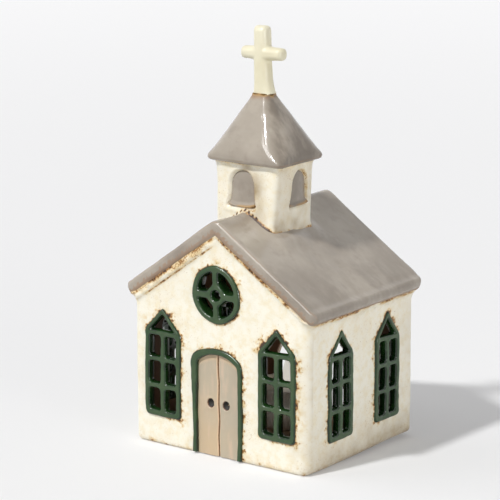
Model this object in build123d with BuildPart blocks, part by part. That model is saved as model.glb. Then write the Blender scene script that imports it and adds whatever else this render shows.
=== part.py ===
"""A slab-built stoneware chapel with pierced windows, lit by a loose LED tealight.

Millimetres, +Z up, the front faces -Y, and the origin is the centre of the base.
"""
import os
from math import atan2, cos, degrees, sin, sqrt, tan

from build123d import *

# Body: four rolled clay walls on a floor
body_width = 99.2
body_depth = 83.0
wall = 4.2
eave_height = 70.4
gable_height = 102.6
corner_radius = 5.0
foot_radius = 1.0
floor_thickness = 5.0

# Every luted joint has this much slip in it, and cuts run past a face by the overrun
luting_gap = 0.15
overrun = 2.0

# Roof: one folded slab
roof_thickness = 6.6
eave_overhang = 4.6
verge_overhang = 1.8
verge_radius = 2.2
roof_vent_diameter = 10.0

# Belfry, set forward on the ridge
belfry_width = 36.4
belfry_depth = 27.6
belfry_wall = 4.0
belfry_rise = 21.0
belfry_setback = 35.0
belfry_corner_radius = 3.0
niche_depth = 2.4

# Bell reliefs in the niches
front_bell_shift = -2.4
right_bell_shift = 1.7
bell_foot_rise = 2.4
bell_head_gap = 3.0
bell_mouth_width = 14.8
bell_flare = 1.5
bell_lip_height = 1.6
bell_lip_proud = 0.9
bell_thickness = 1.5

# Spire and cross
spire_overhang = 2.3
spire_lip = 3.4
spire_lip_radius = 1.5
spire_corner_radius = 2.6
spire_rise = 30.7
spire_neck_drop = 8.4
spire_neck_width = 18.2
spire_neck_depth = 15.2
spire_top_width = 9.2
spire_top_depth = 8.2
spire_top_radius = 2.0
spire_shell = 4.5
cross_height = 30.2
cross_span = 22.4
cross_arm_height = 6.0
cross_head = 12.6
cross_width = 7.0
cross_thickness = 6.6
cross_edge_radius = 1.9
cross_foot_height = 7.0
peg_diameter = 3.6
peg_length = 5.0

# Lancet windows: two columns and three rows of panes under a triangular light
window_sill = 13.5
window_head_gap = 5.9
window_gable = 11.9
front_window_width = 21.0
front_window_shift = 0.8
side_window_width = 19.2
side_window_shift = 2.75
window_proud = 1.0
window_frame = 2.9
window_foot_frame = 3.0
window_head_frame = 2.0
window_slant_frame = 2.3
window_corner_radius = 0.8
mullion = 3.0
glazing_bar = 2.5
pane_radius = 1.2
pane_columns = 2
pane_rows = 3

# Rose window
rose_place_share = 0.482
rose_diameter = 26.6
rose_rim = 3.1
rose_spoke = 3.5
rose_hub_diameter = 10.0
rose_eye_diameter = 5.0

# Door: a band round two leaves, set in a pocket of the front wall
door_width = 27.2
door_band = 2.9
door_foot = 0.8
door_spring_height = 45.2
door_rise = 5.1
door_pocket = 2.4
door_band_proud = 1.2
door_leaf_thickness = 1.7
door_seam = 0.6
knob_spread = 4.3
knob_height = 24.7
knob_diameter = 2.4
knob_depth = 1.0

# Doorway in the rear wall, from the floor up, with room round the light
doorway_side_room = 10.0
doorway_headroom = 6.3

# LED tealight, standing on the floor
light_shift = 14.2
light_stand_gap = 0.2
cup_diameter = 37.0
cup_height = 18.0
cup_skin = 1.2
cup_rim = 1.8
cup_rim_radius = 0.7
cup_dish = 1.5
plate_thickness = 3.0
plate_ledge = 1.4
light_fit = 0.2
cover_diameter = 23.0
cover_recess = 0.1
cover_slot_length = 12.0
cover_slot_width = 1.6
cover_slot_depth = 0.7
cell_diameter = 20.0
cell_thickness = 3.2
flame_diameter = 9.6
flame_flange_diameter = 13.0
flame_flange_thickness = 1.0
flame_stem = 5.0
flame_height = 20.0
flame_tip_radius = 0.8
led_diameter = 5.0
led_flange_diameter = 5.8
led_flange_thickness = 1.0
led_height = 8.6
led_leg_diameter = 0.6
led_leg_pitch = 2.54
switch_knob_length = 3.0
switch_knob_width = 2.4
switch_plate_length = 6.0
switch_plate_width = 3.6
switch_plate_thickness = 1.0
switch_travel = 3.0
switch_recess = 0.4

# Roof lines: the fold of the slab's mid-surface and its slope
roof_slope = (gable_height - eave_height) / (body_width / 2)
roof_angle = atan2(gable_height - eave_height, body_width / 2)
roof_half = roof_thickness / 2
roof_fold_height = gable_height + (roof_half + luting_gap) / cos(roof_angle)
ridge_height = roof_fold_height + roof_half
roof_length = body_depth + 2 * verge_overhang
roof_end = body_width / 2 + eave_overhang - roof_half

# Heights and planes that several pieces share
belfry_y = belfry_setback - body_depth / 2
belfry_top = ridge_height + belfry_rise
bell_foot = ridge_height + bell_foot_rise
spire_foot = belfry_top + luting_gap
spire_top = spire_foot + spire_rise
cross_foot = spire_top + luting_gap
spire_width = belfry_width + 2 * spire_overhang
spire_depth = belfry_depth + 2 * spire_overhang
window_apex = eave_height - window_head_gap
window_shoulder = window_apex - window_gable
front_window_spread = (body_width + door_width) / 4 + front_window_shift
side_window_spread = body_depth / 4 - side_window_shift
door_crown_height = door_spring_height + door_rise
rose_height = door_crown_height + rose_place_share * (gable_height - door_crown_height)
corner = min(corner_radius, wall - luting_gap)

front_plane = Plane(origin=(0, -body_depth / 2, 0), x_dir=(1, 0, 0), z_dir=(0, -1, 0))
rear_plane = Plane(origin=(0, body_depth / 2, 0), x_dir=(-1, 0, 0), z_dir=(0, 1, 0))
right_plane = Plane(origin=(body_width / 2, 0, 0), x_dir=(0, 1, 0), z_dir=(1, 0, 0))
left_plane = Plane(origin=(-body_width / 2, 0, 0), x_dir=(0, -1, 0), z_dir=(-1, 0, 0))
belfry_plane = Plane.XZ.offset(-belfry_y)

os.makedirs("parts", exist_ok=True)


def keep(piece, name):
    """Label a finished piece and write its STEP file."""
    piece.part.label = name
    export_step(piece.part, f"parts/{name}.step")


def moved_along(plane, x):
    """The same plane with its origin moved by x along its own X direction."""
    return Plane(plane.origin + plane.x_dir * x, x_dir=plane.x_dir, z_dir=plane.z_dir)


def gabled_slab(plane):
    """A gabled wall behind plane, with rounded outer corners and a rounded foot."""
    outward = Axis(plane.origin, plane.z_dir)
    with BuildPart() as slab:
        with BuildSketch(plane):
            with BuildLine():
                Polyline(
                    (-body_width / 2, 0),
                    (body_width / 2, 0),
                    (body_width / 2, eave_height),
                    (0, gable_height),
                    (-body_width / 2, eave_height),
                    close=True,
                )
            make_face()
        extrude(amount=-wall)
        fillet(slab.edges().filter_by(Axis.Z).group_by(outward)[-1], corner)
        foot_edges = slab.faces().sort_by(Axis.Z)[0].edges()
        fillet(foot_edges.sort_by(outward)[1:], min(foot_radius, corner))
    return slab.part


def lancet(width):
    """Outline of a lancet window panel, standing on the sill line."""
    with BuildSketch() as panel:
        with BuildLine():
            Polyline(
                (-width / 2, window_sill),
                (width / 2, window_sill),
                (width / 2, window_shoulder),
                (0, window_apex),
                (-width / 2, window_shoulder),
                close=True,
            )
        make_face()
        fillet(panel.vertices(), window_corner_radius)
    return panel.sketch


def segmental_arch(half_width, foot, radius, crown):
    """Outline of an upright opening under an arc of the given radius."""
    spring = crown - radius + sqrt(radius**2 - half_width**2)
    with BuildSketch() as arch:
        with BuildLine():
            Polyline((-half_width, spring), (-half_width, foot), (half_width, foot), (half_width, spring))
            ThreePointArc((half_width, spring), (0, crown), (-half_width, spring))
        make_face()
    return arch.sketch


# Floor
with BuildPart() as floor_slab:
    with BuildSketch():
        Rectangle(body_width - 2 * (wall + luting_gap), body_depth - 2 * (wall + luting_gap))
    extrude(amount=floor_thickness)
keep(floor_slab, "floor_slab")

# Front wall: windows and rose are cut through, the door only to its pocket
door_half = door_width / 2
door_radius = (door_half**2 + door_rise**2) / (2 * door_rise)
with BuildPart() as front_wall:
    add(gabled_slab(front_plane))
    with BuildSketch(front_plane):
        with Locations((-front_window_spread, 0), (front_window_spread, 0)):
            add(lancet(front_window_width))
        with Locations((0, rose_height)):
            Circle(rose_diameter / 2)
        offset(amount=luting_gap)
    extrude(amount=-(wall + overrun), mode=Mode.SUBTRACT)
    with BuildSketch(front_plane):
        add(segmental_arch(door_half, door_foot, door_radius, door_crown_height))
        offset(amount=luting_gap)
    extrude(amount=-door_pocket, mode=Mode.SUBTRACT)
keep(front_wall, "front_wall")

# Rear wall: an arched doorway from the floor up, through which the light is set inside
light_foot = floor_thickness + light_stand_gap
doorway_radius = cup_diameter / 2 + doorway_side_room
doorway_crown = light_foot + cup_height - cup_dish + flame_height + doorway_headroom
with BuildPart() as rear_wall:
    add(gabled_slab(rear_plane))
    with BuildSketch(rear_plane):
        add(segmental_arch(doorway_radius, floor_thickness, doorway_radius, doorway_crown))
    extrude(amount=-(wall + overrun), mode=Mode.SUBTRACT)
keep(rear_wall, "rear_wall")

# Side walls: slabs between the gables, bevelled to the roof at the top
side_length = body_depth - 2 * (wall + luting_gap)
for name, plane, side in (("left_wall", left_plane, -1), ("right_wall", right_plane, 1)):
    outer = side * body_width / 2
    inner = side * (body_width / 2 - wall)
    with BuildPart() as side_wall:
        with BuildSketch(Plane.XZ):
            with BuildLine():
                Polyline(
                    (inner, 0),
                    (outer, 0),
                    (outer, eave_height),
                    (inner, eave_height + wall * roof_slope),
                    close=True,
                )
            make_face()
        extrude(amount=side_length / 2, both=True)
        outward = Axis(plane.origin, plane.z_dir)
        foot_edges = side_wall.faces().sort_by(Axis.Z)[0].edges()
        fillet(foot_edges.sort_by(outward)[-1], min(foot_radius, corner))
        with BuildSketch(plane):
            with Locations((-side_window_spread, 0), (side_window_spread, 0)):
                add(lancet(side_window_width))
            offset(amount=luting_gap)
        extrude(amount=-(wall + overrun), mode=Mode.SUBTRACT)
    keep(side_wall, name)

# Roof: half of the folded section, mirrored, with round eaves and a round ridge
run = Vector(cos(roof_angle), -sin(roof_angle))
rise = Vector(sin(roof_angle), cos(roof_angle))
fold = Vector(0, roof_fold_height)
eave = Vector(roof_end, roof_fold_height - roof_slope * roof_end)
with BuildPart() as roof_slab:
    with BuildSketch(Plane.XZ):
        with BuildLine():
            Line(fold - Vector(0, roof_half / cos(roof_angle)), eave - rise * roof_half)
            ThreePointArc(eave - rise * roof_half, eave + run * roof_half, eave + rise * roof_half)
            Line(eave + rise * roof_half, fold + rise * roof_half)
            CenterArc(fold, roof_half, 90 - degrees(roof_angle), degrees(roof_angle))
            mirror(about=Plane.YZ)
        make_face()
    extrude(amount=roof_length / 2, both=True)
    verges = roof_slab.faces().filter_by(Plane.XZ).edges()
    fillet(verges, min(verge_radius, roof_half - luting_gap))
    with Locations((0, belfry_y, roof_fold_height)):
        Cylinder(roof_vent_diameter / 2, roof_thickness * 2, mode=Mode.SUBTRACT)
keep(roof_slab, "roof_slab")


def bell_outline():
    """A bell standing on its mouth: straight lip, waisted side, round crown."""
    mouth = bell_mouth_width / 2
    crown_radius = mouth - bell_flare
    crown = belfry_top - bell_head_gap - crown_radius
    lip_top = bell_foot + bell_lip_height
    with BuildSketch() as bell:
        with BuildLine():
            Line((0, bell_foot), (mouth, bell_foot))
            Line((mouth, bell_foot), (mouth, lip_top))
            TangentArc((crown_radius, crown), (mouth, lip_top), tangent=(0, -1))
            CenterArc((0, crown), crown_radius, 0, 90)
            mirror(about=Plane.YZ)
        make_face()
    return bell.sketch


# Belfry: an oblong tube saddled over the ridge, with a niche in each side
belfry_side = belfry_width / 2
belfry_root = roof_fold_height - roof_slope * belfry_side
belfry_front = belfry_y - belfry_depth / 2
belfry_rear = belfry_y + belfry_depth / 2
right_bell_y = belfry_y + right_bell_shift
niche_planes = {
    "bell_front": Plane(origin=(front_bell_shift, belfry_front, 0), x_dir=(1, 0, 0), z_dir=(0, -1, 0)),
    "bell_right": Plane(origin=(belfry_side, right_bell_y, 0), x_dir=(0, 1, 0), z_dir=(1, 0, 0)),
    "bell_rear": Plane(origin=(0, belfry_rear, 0), x_dir=(-1, 0, 0), z_dir=(0, 1, 0)),
    "bell_left": Plane(origin=(-belfry_side, belfry_y, 0), x_dir=(0, -1, 0), z_dir=(-1, 0, 0)),
}
saddle_half = roof_half + luting_gap
saddle_end = fold + run * body_width
with BuildPart() as belfry:
    with BuildSketch(Plane.XY.offset(belfry_root)):
        with Locations((0, belfry_y)):
            RectangleRounded(belfry_width, belfry_depth, belfry_corner_radius)
            Rectangle(belfry_width - 2 * belfry_wall, belfry_depth - 2 * belfry_wall, mode=Mode.SUBTRACT)
    extrude(amount=belfry_top - belfry_root)
    with BuildSketch(Plane.XZ):
        with BuildLine():
            CenterArc(fold, saddle_half, 90 - degrees(roof_angle), degrees(roof_angle))
            Line(fold + rise * saddle_half, saddle_end + rise * saddle_half)
            Line(saddle_end + rise * saddle_half, (0, (saddle_end + rise * saddle_half).Y))
            mirror(about=Plane.YZ)
        make_face()
    extrude(amount=body_depth, both=True, mode=Mode.SUBTRACT)
    for plane in niche_planes.values():
        with BuildSketch(plane):
            add(bell_outline())
            offset(amount=luting_gap)
        extrude(amount=-niche_depth, mode=Mode.SUBTRACT)
keep(belfry, "belfry")

# Bells: low reliefs on the backs of the niches, each with a lip that stands out
for name, plane in niche_planes.items():
    niche_back = plane.offset(luting_gap - niche_depth)
    with BuildPart() as bell:
        with BuildSketch(niche_back):
            add(bell_outline())
        extrude(amount=bell_thickness)
        with BuildSketch(niche_back):
            with Locations((0, bell_foot)):
                Rectangle(bell_mouth_width, bell_lip_height, align=(Align.CENTER, Align.MIN))
        extrude(amount=bell_thickness + bell_lip_proud)
    keep(bell, name)

# Spire: a hollow pyramid that hollows a little towards the neck, over a round lip
with BuildPart() as spire:
    with BuildSketch(Plane.XY.offset(spire_foot)):
        with Locations((0, belfry_y)):
            RectangleRounded(spire_width, spire_depth, spire_corner_radius)
    extrude(amount=spire_lip)
    with BuildSketch(Plane.XY.offset(spire_foot + spire_lip)):
        with Locations((0, belfry_y)):
            RectangleRounded(spire_width, spire_depth, spire_corner_radius)
    with BuildSketch(Plane.XY.offset(spire_top - spire_neck_drop)):
        with Locations((0, belfry_y)):
            RectangleRounded(spire_neck_width, spire_neck_depth, spire_corner_radius)
    with BuildSketch(Plane.XY.offset(spire_top)):
        with Locations((0, belfry_y)):
            RectangleRounded(spire_top_width, spire_top_depth, spire_top_radius)
    loft()
    fillet(spire.edges().group_by(Axis.Z)[0], spire_lip_radius)
    with BuildSketch(Plane.XY.offset(spire_foot)):
        with Locations((0, belfry_y)):
            Rectangle(belfry_width - 2 * belfry_wall, belfry_depth - 2 * belfry_wall)
    with BuildSketch(Plane.XY.offset(spire_top - spire_neck_drop - spire_shell)):
        with Locations((0, belfry_y)):
            Rectangle(spire_neck_width - 2 * spire_shell, spire_neck_depth - 2 * spire_shell)
    loft(mode=Mode.SUBTRACT)
    with Locations((0, belfry_y, spire_top)):
        Hole(peg_diameter / 2 + luting_gap, peg_length + luting_gap)
keep(spire, "spire")

# Cross: soft-edged, on a flared foot with a peg
with BuildPart() as cross:
    with BuildSketch(belfry_plane):
        with Locations((0, cross_foot)):
            Rectangle(cross_width, cross_height, align=(Align.CENTER, Align.MIN))
        with Locations((0, cross_foot + cross_height - cross_head)):
            Rectangle(cross_span, cross_arm_height)
    extrude(amount=cross_thickness / 2, both=True)
    fillet(cross.edges(), cross_edge_radius)
    with BuildSketch(Plane.XY.offset(cross_foot)):
        with Locations((0, belfry_y)):
            RectangleRounded(spire_top_width, spire_top_depth, spire_top_radius)
    with BuildSketch(Plane.XY.offset(cross_foot + cross_foot_height)):
        with Locations((0, belfry_y)):
            RectangleRounded(cross_width, cross_thickness, cross_edge_radius)
    loft()
    with BuildSketch(Plane.XY.offset(cross_foot)):
        with Locations((0, belfry_y)):
            Circle(peg_diameter / 2)
    extrude(amount=-peg_length)
keep(cross, "cross")


def window_tracery(width):
    """A lancet panel pierced by its panes and the triangular light."""
    pane_width = (width - 2 * window_frame - (pane_columns - 1) * mullion) / pane_columns
    panes_foot = window_sill + window_foot_frame
    panes_height = window_shoulder - window_head_frame - panes_foot
    pane_height = (panes_height - (pane_rows - 1) * glazing_bar) / pane_rows
    light_foot = panes_foot + panes_height + glazing_bar
    slant = atan2(window_apex - window_shoulder, width / 2)
    light_apex = window_apex - window_slant_frame / cos(slant)
    light_half = (light_apex - light_foot) / tan(slant)
    with BuildSketch() as tracery:
        add(lancet(width))
        with Locations((0, panes_foot + panes_height / 2)):
            with GridLocations(pane_width + mullion, pane_height + glazing_bar, pane_columns, pane_rows):
                RectangleRounded(pane_width, pane_height, pane_radius, mode=Mode.SUBTRACT)
        with BuildLine():
            FilletPolyline(
                (-light_half, light_foot),
                (light_half, light_foot),
                (0, light_apex),
                radius=window_corner_radius,
                close=True,
            )
        make_face(mode=Mode.SUBTRACT)
    return tracery.sketch


# Lancet windows: green panels through the walls, standing a little proud
window_places = {
    "front_left_window": (front_plane, -front_window_spread, front_window_width),
    "front_right_window": (front_plane, front_window_spread, front_window_width),
    "right_front_window": (right_plane, -side_window_spread, side_window_width),
    "right_rear_window": (right_plane, side_window_spread, side_window_width),
    "left_front_window": (left_plane, side_window_spread, side_window_width),
    "left_rear_window": (left_plane, -side_window_spread, side_window_width),
}
for name, (plane, across, width) in window_places.items():
    with BuildPart() as window:
        with BuildSketch(moved_along(plane, across).offset(window_proud)):
            add(window_tracery(width))
        extrude(amount=-(window_proud + wall))
    keep(window, name)

# Rose window: a rim, four spokes and a hub with an eye
with BuildPart() as rose_window:
    with BuildSketch(front_plane.offset(window_proud)):
        with Locations((0, rose_height)):
            Circle(rose_diameter / 2)
            Circle(rose_diameter / 2 - rose_rim, mode=Mode.SUBTRACT)
            Rectangle(rose_diameter - rose_rim, rose_spoke)
            Rectangle(rose_spoke, rose_diameter - rose_rim)
            Circle(rose_hub_diameter / 2)
            Circle(rose_eye_diameter / 2, mode=Mode.SUBTRACT)
    extrude(amount=-(window_proud + wall))
keep(rose_window, "rose_window")

# Door: the band stands proud of the wall, the leaves lie back inside it
pocket_plane = front_plane.offset(luting_gap - door_pocket)
leaf_half = door_half - door_band - luting_gap
leaf_radius = door_radius - door_band - luting_gap
leaf_crown = door_crown_height - door_band - luting_gap
with BuildPart() as door_frame:
    with BuildSketch(pocket_plane):
        add(segmental_arch(door_half, door_foot, door_radius, door_crown_height))
        add(
            segmental_arch(
                door_half - door_band,
                door_foot - overrun,
                door_radius - door_band,
                door_crown_height - door_band,
            ),
            mode=Mode.SUBTRACT,
        )
    extrude(amount=door_pocket - luting_gap + door_band_proud)
keep(door_frame, "door_frame")

for name, side in (("door_leaf_left", -1), ("door_leaf_right", 1)):
    pit_radius = ((knob_diameter / 2) ** 2 + knob_depth**2) / (2 * knob_depth)
    leaf_face = -body_depth / 2 - luting_gap + door_pocket - door_leaf_thickness
    with BuildPart() as leaf:
        with BuildSketch(pocket_plane):
            add(segmental_arch(leaf_half, door_foot, leaf_radius, leaf_crown))
            with Locations((side * (door_seam - door_width) / 2, 0)):
                Rectangle(
                    door_width,
                    door_crown_height,
                    align=(Align.CENTER, Align.MIN),
                    mode=Mode.SUBTRACT,
                )
        extrude(amount=door_leaf_thickness)
        with Locations((side * knob_spread, leaf_face + knob_depth - pit_radius, knob_height)):
            Sphere(pit_radius, mode=Mode.SUBTRACT)
    keep(leaf, name)

# LED tealight: turned pieces about an upright axis, on a plane of radius and height
light_centre = Vector(0, light_shift, light_foot)
light_plane = Plane(origin=light_centre, x_dir=(1, 0, 0), z_dir=(0, -1, 0))
light_axis = Axis(light_centre, (0, 0, 1))
cup_radius = cup_diameter / 2
dish_top = cup_height - cup_dish
dish_under = dish_top - cup_skin
flame_hole = flame_diameter / 2 + light_fit

with BuildPart() as tealight_cup:
    with BuildSketch(light_plane):
        with BuildLine():
            Polyline(
                (cup_radius, 0),
                (cup_radius, cup_height),
                (cup_radius - cup_rim, cup_height),
                (cup_radius - cup_rim, dish_top),
                (flame_hole, dish_top),
                (flame_hole, dish_under),
                (cup_radius - cup_skin, dish_under),
                (cup_radius - cup_skin, 0),
                close=True,
            )
        make_face()
    revolve(axis=light_axis)
    fillet(tealight_cup.edges().group_by(Axis.Z)[-1], cup_rim_radius)
keep(tealight_cup, "tealight_cup")

# Base plate: carries the battery cover in a counterbore and the switch in a slot
plate_radius = cup_radius - cup_skin - light_fit
cover_bore = cover_diameter / 2 + light_fit
switch_y = light_shift + (cover_bore + plate_radius) / 2
slot_length = switch_knob_length + switch_travel + 2 * light_fit
with BuildPart() as tealight_base:
    with BuildSketch(Plane.XY.offset(light_foot)):
        with Locations((0, light_shift)):
            Circle(plate_radius)
        with Locations((0, switch_y)):
            Rectangle(slot_length, switch_knob_width + 2 * light_fit, mode=Mode.SUBTRACT)
    extrude(amount=plate_thickness)
    with Locations(Location((0, light_shift, light_foot), (180, 0, 0))):
        CounterBoreHole(
            radius=cell_diameter / 2 + light_fit,
            counter_bore_radius=cover_bore,
            counter_bore_depth=plate_thickness - plate_ledge,
            depth=plate_thickness + overrun,
        )
keep(tealight_base, "tealight_base")

# Battery cover: a disc with a coin slot, twisted in the counterbore
cover_foot = light_foot + cover_recess
cover_top = light_foot + plate_thickness - plate_ledge - light_fit
with BuildPart() as battery_cover:
    with BuildSketch(Plane.XY.offset(cover_top)):
        with Locations((0, light_shift)):
            Circle(cover_diameter / 2)
    extrude(amount=cover_foot - cover_top)
    with BuildSketch(Plane.XY.offset(cover_foot)):
        with Locations((0, light_shift)):
            SlotOverall(cover_slot_length, cover_slot_width)
    extrude(amount=cover_slot_depth, mode=Mode.SUBTRACT)
keep(battery_cover, "tealight_battery_cover")

# Coin cell on the cover
cell_foot = cover_top + light_fit
cell_top = cell_foot + cell_thickness
with BuildPart() as coin_cell:
    with BuildSketch(Plane.XY.offset(cell_foot)):
        with Locations((0, light_shift)):
            Circle(cell_diameter / 2)
    extrude(amount=cell_thickness)
keep(coin_cell, "tealight_coin_cell")

# Flame: a soft diffuser held by its flange under the dish, with a bore for the lamp
flange_top = dish_under - light_fit
flange_foot = flange_top - flame_flange_thickness
flame_shoulder = dish_top + flame_stem
flame_tip = dish_top + flame_height
bore_radius = led_diameter / 2 + light_fit
bore_top = flange_foot + led_height + light_fit
with BuildPart() as tealight_flame:
    with BuildSketch(light_plane):
        with BuildLine():
            Polyline(
                (0, flame_tip),
                (0, bore_top),
                (bore_radius, bore_top - bore_radius),
                (bore_radius, flange_foot),
                (flame_flange_diameter / 2, flange_foot),
                (flame_flange_diameter / 2, flange_top),
                (flame_diameter / 2, flange_top),
                (flame_diameter / 2, flame_shoulder),
            )
            Spline(
                (flame_diameter / 2, flame_shoulder),
                (flame_tip_radius, flame_tip - flame_tip_radius),
                tangents=[(0, 1), (-flame_diameter, 2 * flame_height)],
            )
            Line((flame_tip_radius, flame_tip - flame_tip_radius), (0, flame_tip))
        make_face()
    revolve(axis=light_axis)
keep(tealight_flame, "tealight_flame")

# LED: dome, flange and two legs that stand on the cell
led_foot = flange_foot - led_flange_thickness - light_fit
led_dome = led_foot + led_height - led_diameter / 2
with BuildPart() as tealight_led:
    with BuildSketch(light_plane):
        with BuildLine():
            Polyline(
                (0, led_dome + led_diameter / 2),
                (0, led_foot),
                (led_flange_diameter / 2, led_foot),
                (led_flange_diameter / 2, led_foot + led_flange_thickness),
                (led_diameter / 2, led_foot + led_flange_thickness),
                (led_diameter / 2, led_dome),
            )
            CenterArc((0, led_dome), led_diameter / 2, 0, 90)
        make_face()
    revolve(axis=light_axis)
    with BuildSketch(Plane.XY.offset(light_foot + led_foot)):
        with Locations((led_leg_pitch / 2, light_shift), (-led_leg_pitch / 2, light_shift)):
            Circle(led_leg_diameter / 2)
    extrude(amount=cell_top + light_fit - light_foot - led_foot)
keep(tealight_led, "tealight_led")

# Switch: a knob in the slot of the base plate under a sliding plate
switch_rest = -switch_travel / 2
with BuildPart() as switch:
    with BuildSketch(Plane.XY.offset(light_foot + switch_recess)):
        with Locations((switch_rest, switch_y)):
            Rectangle(switch_knob_length, switch_knob_width)
    extrude(amount=plate_thickness - switch_recess + light_fit)
    with BuildSketch(Plane.XY.offset(light_foot + plate_thickness + light_fit)):
        with Locations((switch_rest, switch_y)):
            Rectangle(switch_plate_length, switch_plate_width)
    extrude(amount=switch_plate_thickness)
keep(switch, "tealight_switch")
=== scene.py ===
# %% [markdown]
# # A stoneware chapel for a tealight
# The real object is a small chapel built by hand from rolled slabs of clay: four walls, a folded
# roof, a belfry and a spire, with green window panels pierced by a knife. The CAD model gives its
# sizes and places, and this file gives it the soft edges, the lean and the glaze of handwork.
# The CAD solids could have been shaded as they are, but clay has no sharp edges and no straight
# lines, so each clay piece is worked out again as a surface on a grid and stands for its solid.

# %% Load the frame
import math

import bmesh
import bpy
import numpy as np
from mathutils import Matrix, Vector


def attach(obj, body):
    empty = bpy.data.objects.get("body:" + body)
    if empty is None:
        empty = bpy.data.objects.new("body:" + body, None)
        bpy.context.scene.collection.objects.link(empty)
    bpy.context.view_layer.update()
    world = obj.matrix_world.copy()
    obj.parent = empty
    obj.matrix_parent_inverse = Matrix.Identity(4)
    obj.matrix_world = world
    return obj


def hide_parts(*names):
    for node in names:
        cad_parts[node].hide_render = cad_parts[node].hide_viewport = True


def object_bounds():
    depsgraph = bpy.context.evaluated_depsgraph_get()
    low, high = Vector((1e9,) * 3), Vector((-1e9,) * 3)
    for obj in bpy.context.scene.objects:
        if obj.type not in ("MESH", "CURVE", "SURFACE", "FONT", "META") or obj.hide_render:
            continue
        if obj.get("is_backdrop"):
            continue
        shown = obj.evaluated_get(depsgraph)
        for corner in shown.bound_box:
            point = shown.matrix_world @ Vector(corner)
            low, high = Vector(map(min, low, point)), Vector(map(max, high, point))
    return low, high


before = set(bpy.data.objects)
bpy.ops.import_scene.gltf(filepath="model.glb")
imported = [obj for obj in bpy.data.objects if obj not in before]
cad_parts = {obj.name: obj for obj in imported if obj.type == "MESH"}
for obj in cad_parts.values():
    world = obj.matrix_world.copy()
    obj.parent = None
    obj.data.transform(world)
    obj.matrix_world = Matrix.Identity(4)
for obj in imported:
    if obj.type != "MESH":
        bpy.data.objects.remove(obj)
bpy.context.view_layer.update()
mm = 0.001

# %% [markdown]
# ## The camera
# The picture was taken with a long lens from the front right and a little above. The two angles
# and the lens were fitted to the corners of the CAD model, so the camera is placed by angles and
# not by eye. The lamps are placed in the same way later.

# %% Camera
view_round = 37.86
view_up = 11.87
view_distance = 1.0
view_target = np.array([-0.00825, -0.00780, 0.08904])


def towards(round_degrees, up_degrees):
    """The way out from the chapel at two angles, and the turn that makes a thing there face back."""
    a = math.radians(round_degrees)
    e = math.radians(up_degrees)
    out = np.array([math.sin(a) * math.cos(e), -math.cos(a) * math.cos(e), math.sin(e)])
    side = np.array([math.cos(a), math.sin(a), 0.0])
    return out, Matrix(np.column_stack([side, np.cross(out, side), out]).tolist()).to_4x4()


def put_up(name, data, place, turned):
    """An object for a camera or a lamp, turned and then moved to its place."""
    stand = bpy.data.objects.new(name, data)
    stand.matrix_world = Matrix.Translation(place) @ turned
    bpy.context.scene.collection.objects.link(stand)
    return stand


lens = bpy.data.cameras.new("photo_camera")
lens.sensor_width = 36.0
lens.lens = 157.69
view_out, view_turn = towards(view_round, view_up)
bpy.context.scene.camera = put_up("photo_camera", lens, view_target + view_distance * view_out, view_turn)
bpy.context.scene.view_settings.view_transform = "Standard"
print("camera", view_round, "degrees round,", view_up, "up,", lens.lens, "mm lens")

# %% [markdown]
# ## Shader sums
# A material is a graph of nodes. Wiring it by hand is long, so one small class wraps a socket: sums
# on it add Math nodes, and one method adds any other node with its settings and its inputs.


# %% A socket that can be reckoned with
class Wire:
    """A shader socket: sums with it become Math nodes, and node() adds any other node."""

    def __init__(self, tree, socket=None):
        self.tree = tree
        self.socket = socket

    def node(self, kind, settings=None, sockets=None, out=0):
        """A new node: first its settings, then the value or the link of each socket."""
        made = self.tree.nodes.new(kind)
        for key, value in (settings or {}).items():
            setattr(made, key, value)
        for key, value in (sockets or {}).items():
            if isinstance(value, Wire):
                self.tree.links.new(value.socket, made.inputs[key])
            else:
                made.inputs[key].default_value = value
        return Wire(self.tree, made.outputs[out] if made.outputs else None)

    def sum(self, operation, first, second):
        """A Math node on two values, each a number or a socket."""
        return self.node("ShaderNodeMath", {"operation": operation}, {0: first, 1: second})

    # Sums with a number or another socket
    def __add__(self, other):
        return self.sum("ADD", self, other)

    def __radd__(self, other):
        return self.sum("ADD", other, self)

    def __sub__(self, other):
        return self.sum("SUBTRACT", self, other)

    def __rsub__(self, other):
        return self.sum("SUBTRACT", other, self)

    def __mul__(self, other):
        return self.sum("MULTIPLY", self, other)

    def most(self, other):
        """The larger of two values."""
        return self.sum("MAXIMUM", self, other)

    def between(self, low, high):
        """0 up to low, 1 from high on, and a smooth S between them."""
        sockets = {"Value": self, "From Min": low, "From Max": high}
        return self.node("ShaderNodeMapRange", {"interpolation_type": "SMOOTHSTEP"}, sockets)

    def blend(self, first, second):
        """The first colour where this factor is 0 and the second where it is 1."""
        return self.node("ShaderNodeMix", {"data_type": "RGBA"}, {0: self, 6: first, 7: second}, out=2)

    def place(self):
        """Where a point is on the piece; all pieces share one origin."""
        return self.node("ShaderNodeTexCoord", out="Object")

    def noise(self, place, scale, detail=2.0, rough=0.5):
        """Clouds round a value of 0.5: about scale of them to a metre, with finer ones laid over."""
        sockets = {"Vector": place, "Scale": scale, "Detail": detail, "Roughness": rough}
        return self.node("ShaderNodeTexNoise", None, sockets)

    def read(self, name):
        """A value that the mesh carries on its points."""
        return self.node("ShaderNodeAttribute", {"attribute_name": name}, out="Fac")


print("a socket knows", ", ".join(name for name in vars(Wire) if "__" not in name))


# %% Colours and materials
def colour(red, green, blue):
    """A screen colour of 0 to 255 as the linear colour that shaders reckon with."""
    screen = np.array([red, green, blue]) / 255.0
    linear = np.where(screen <= 0.04045, screen / 12.92, ((screen + 0.055) / 1.055) ** 2.4)
    return (*linear.tolist(), 1.0)


def grey(value):
    """A linear colour with three equal parts."""
    return (value, value, value, 1.0)


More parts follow.
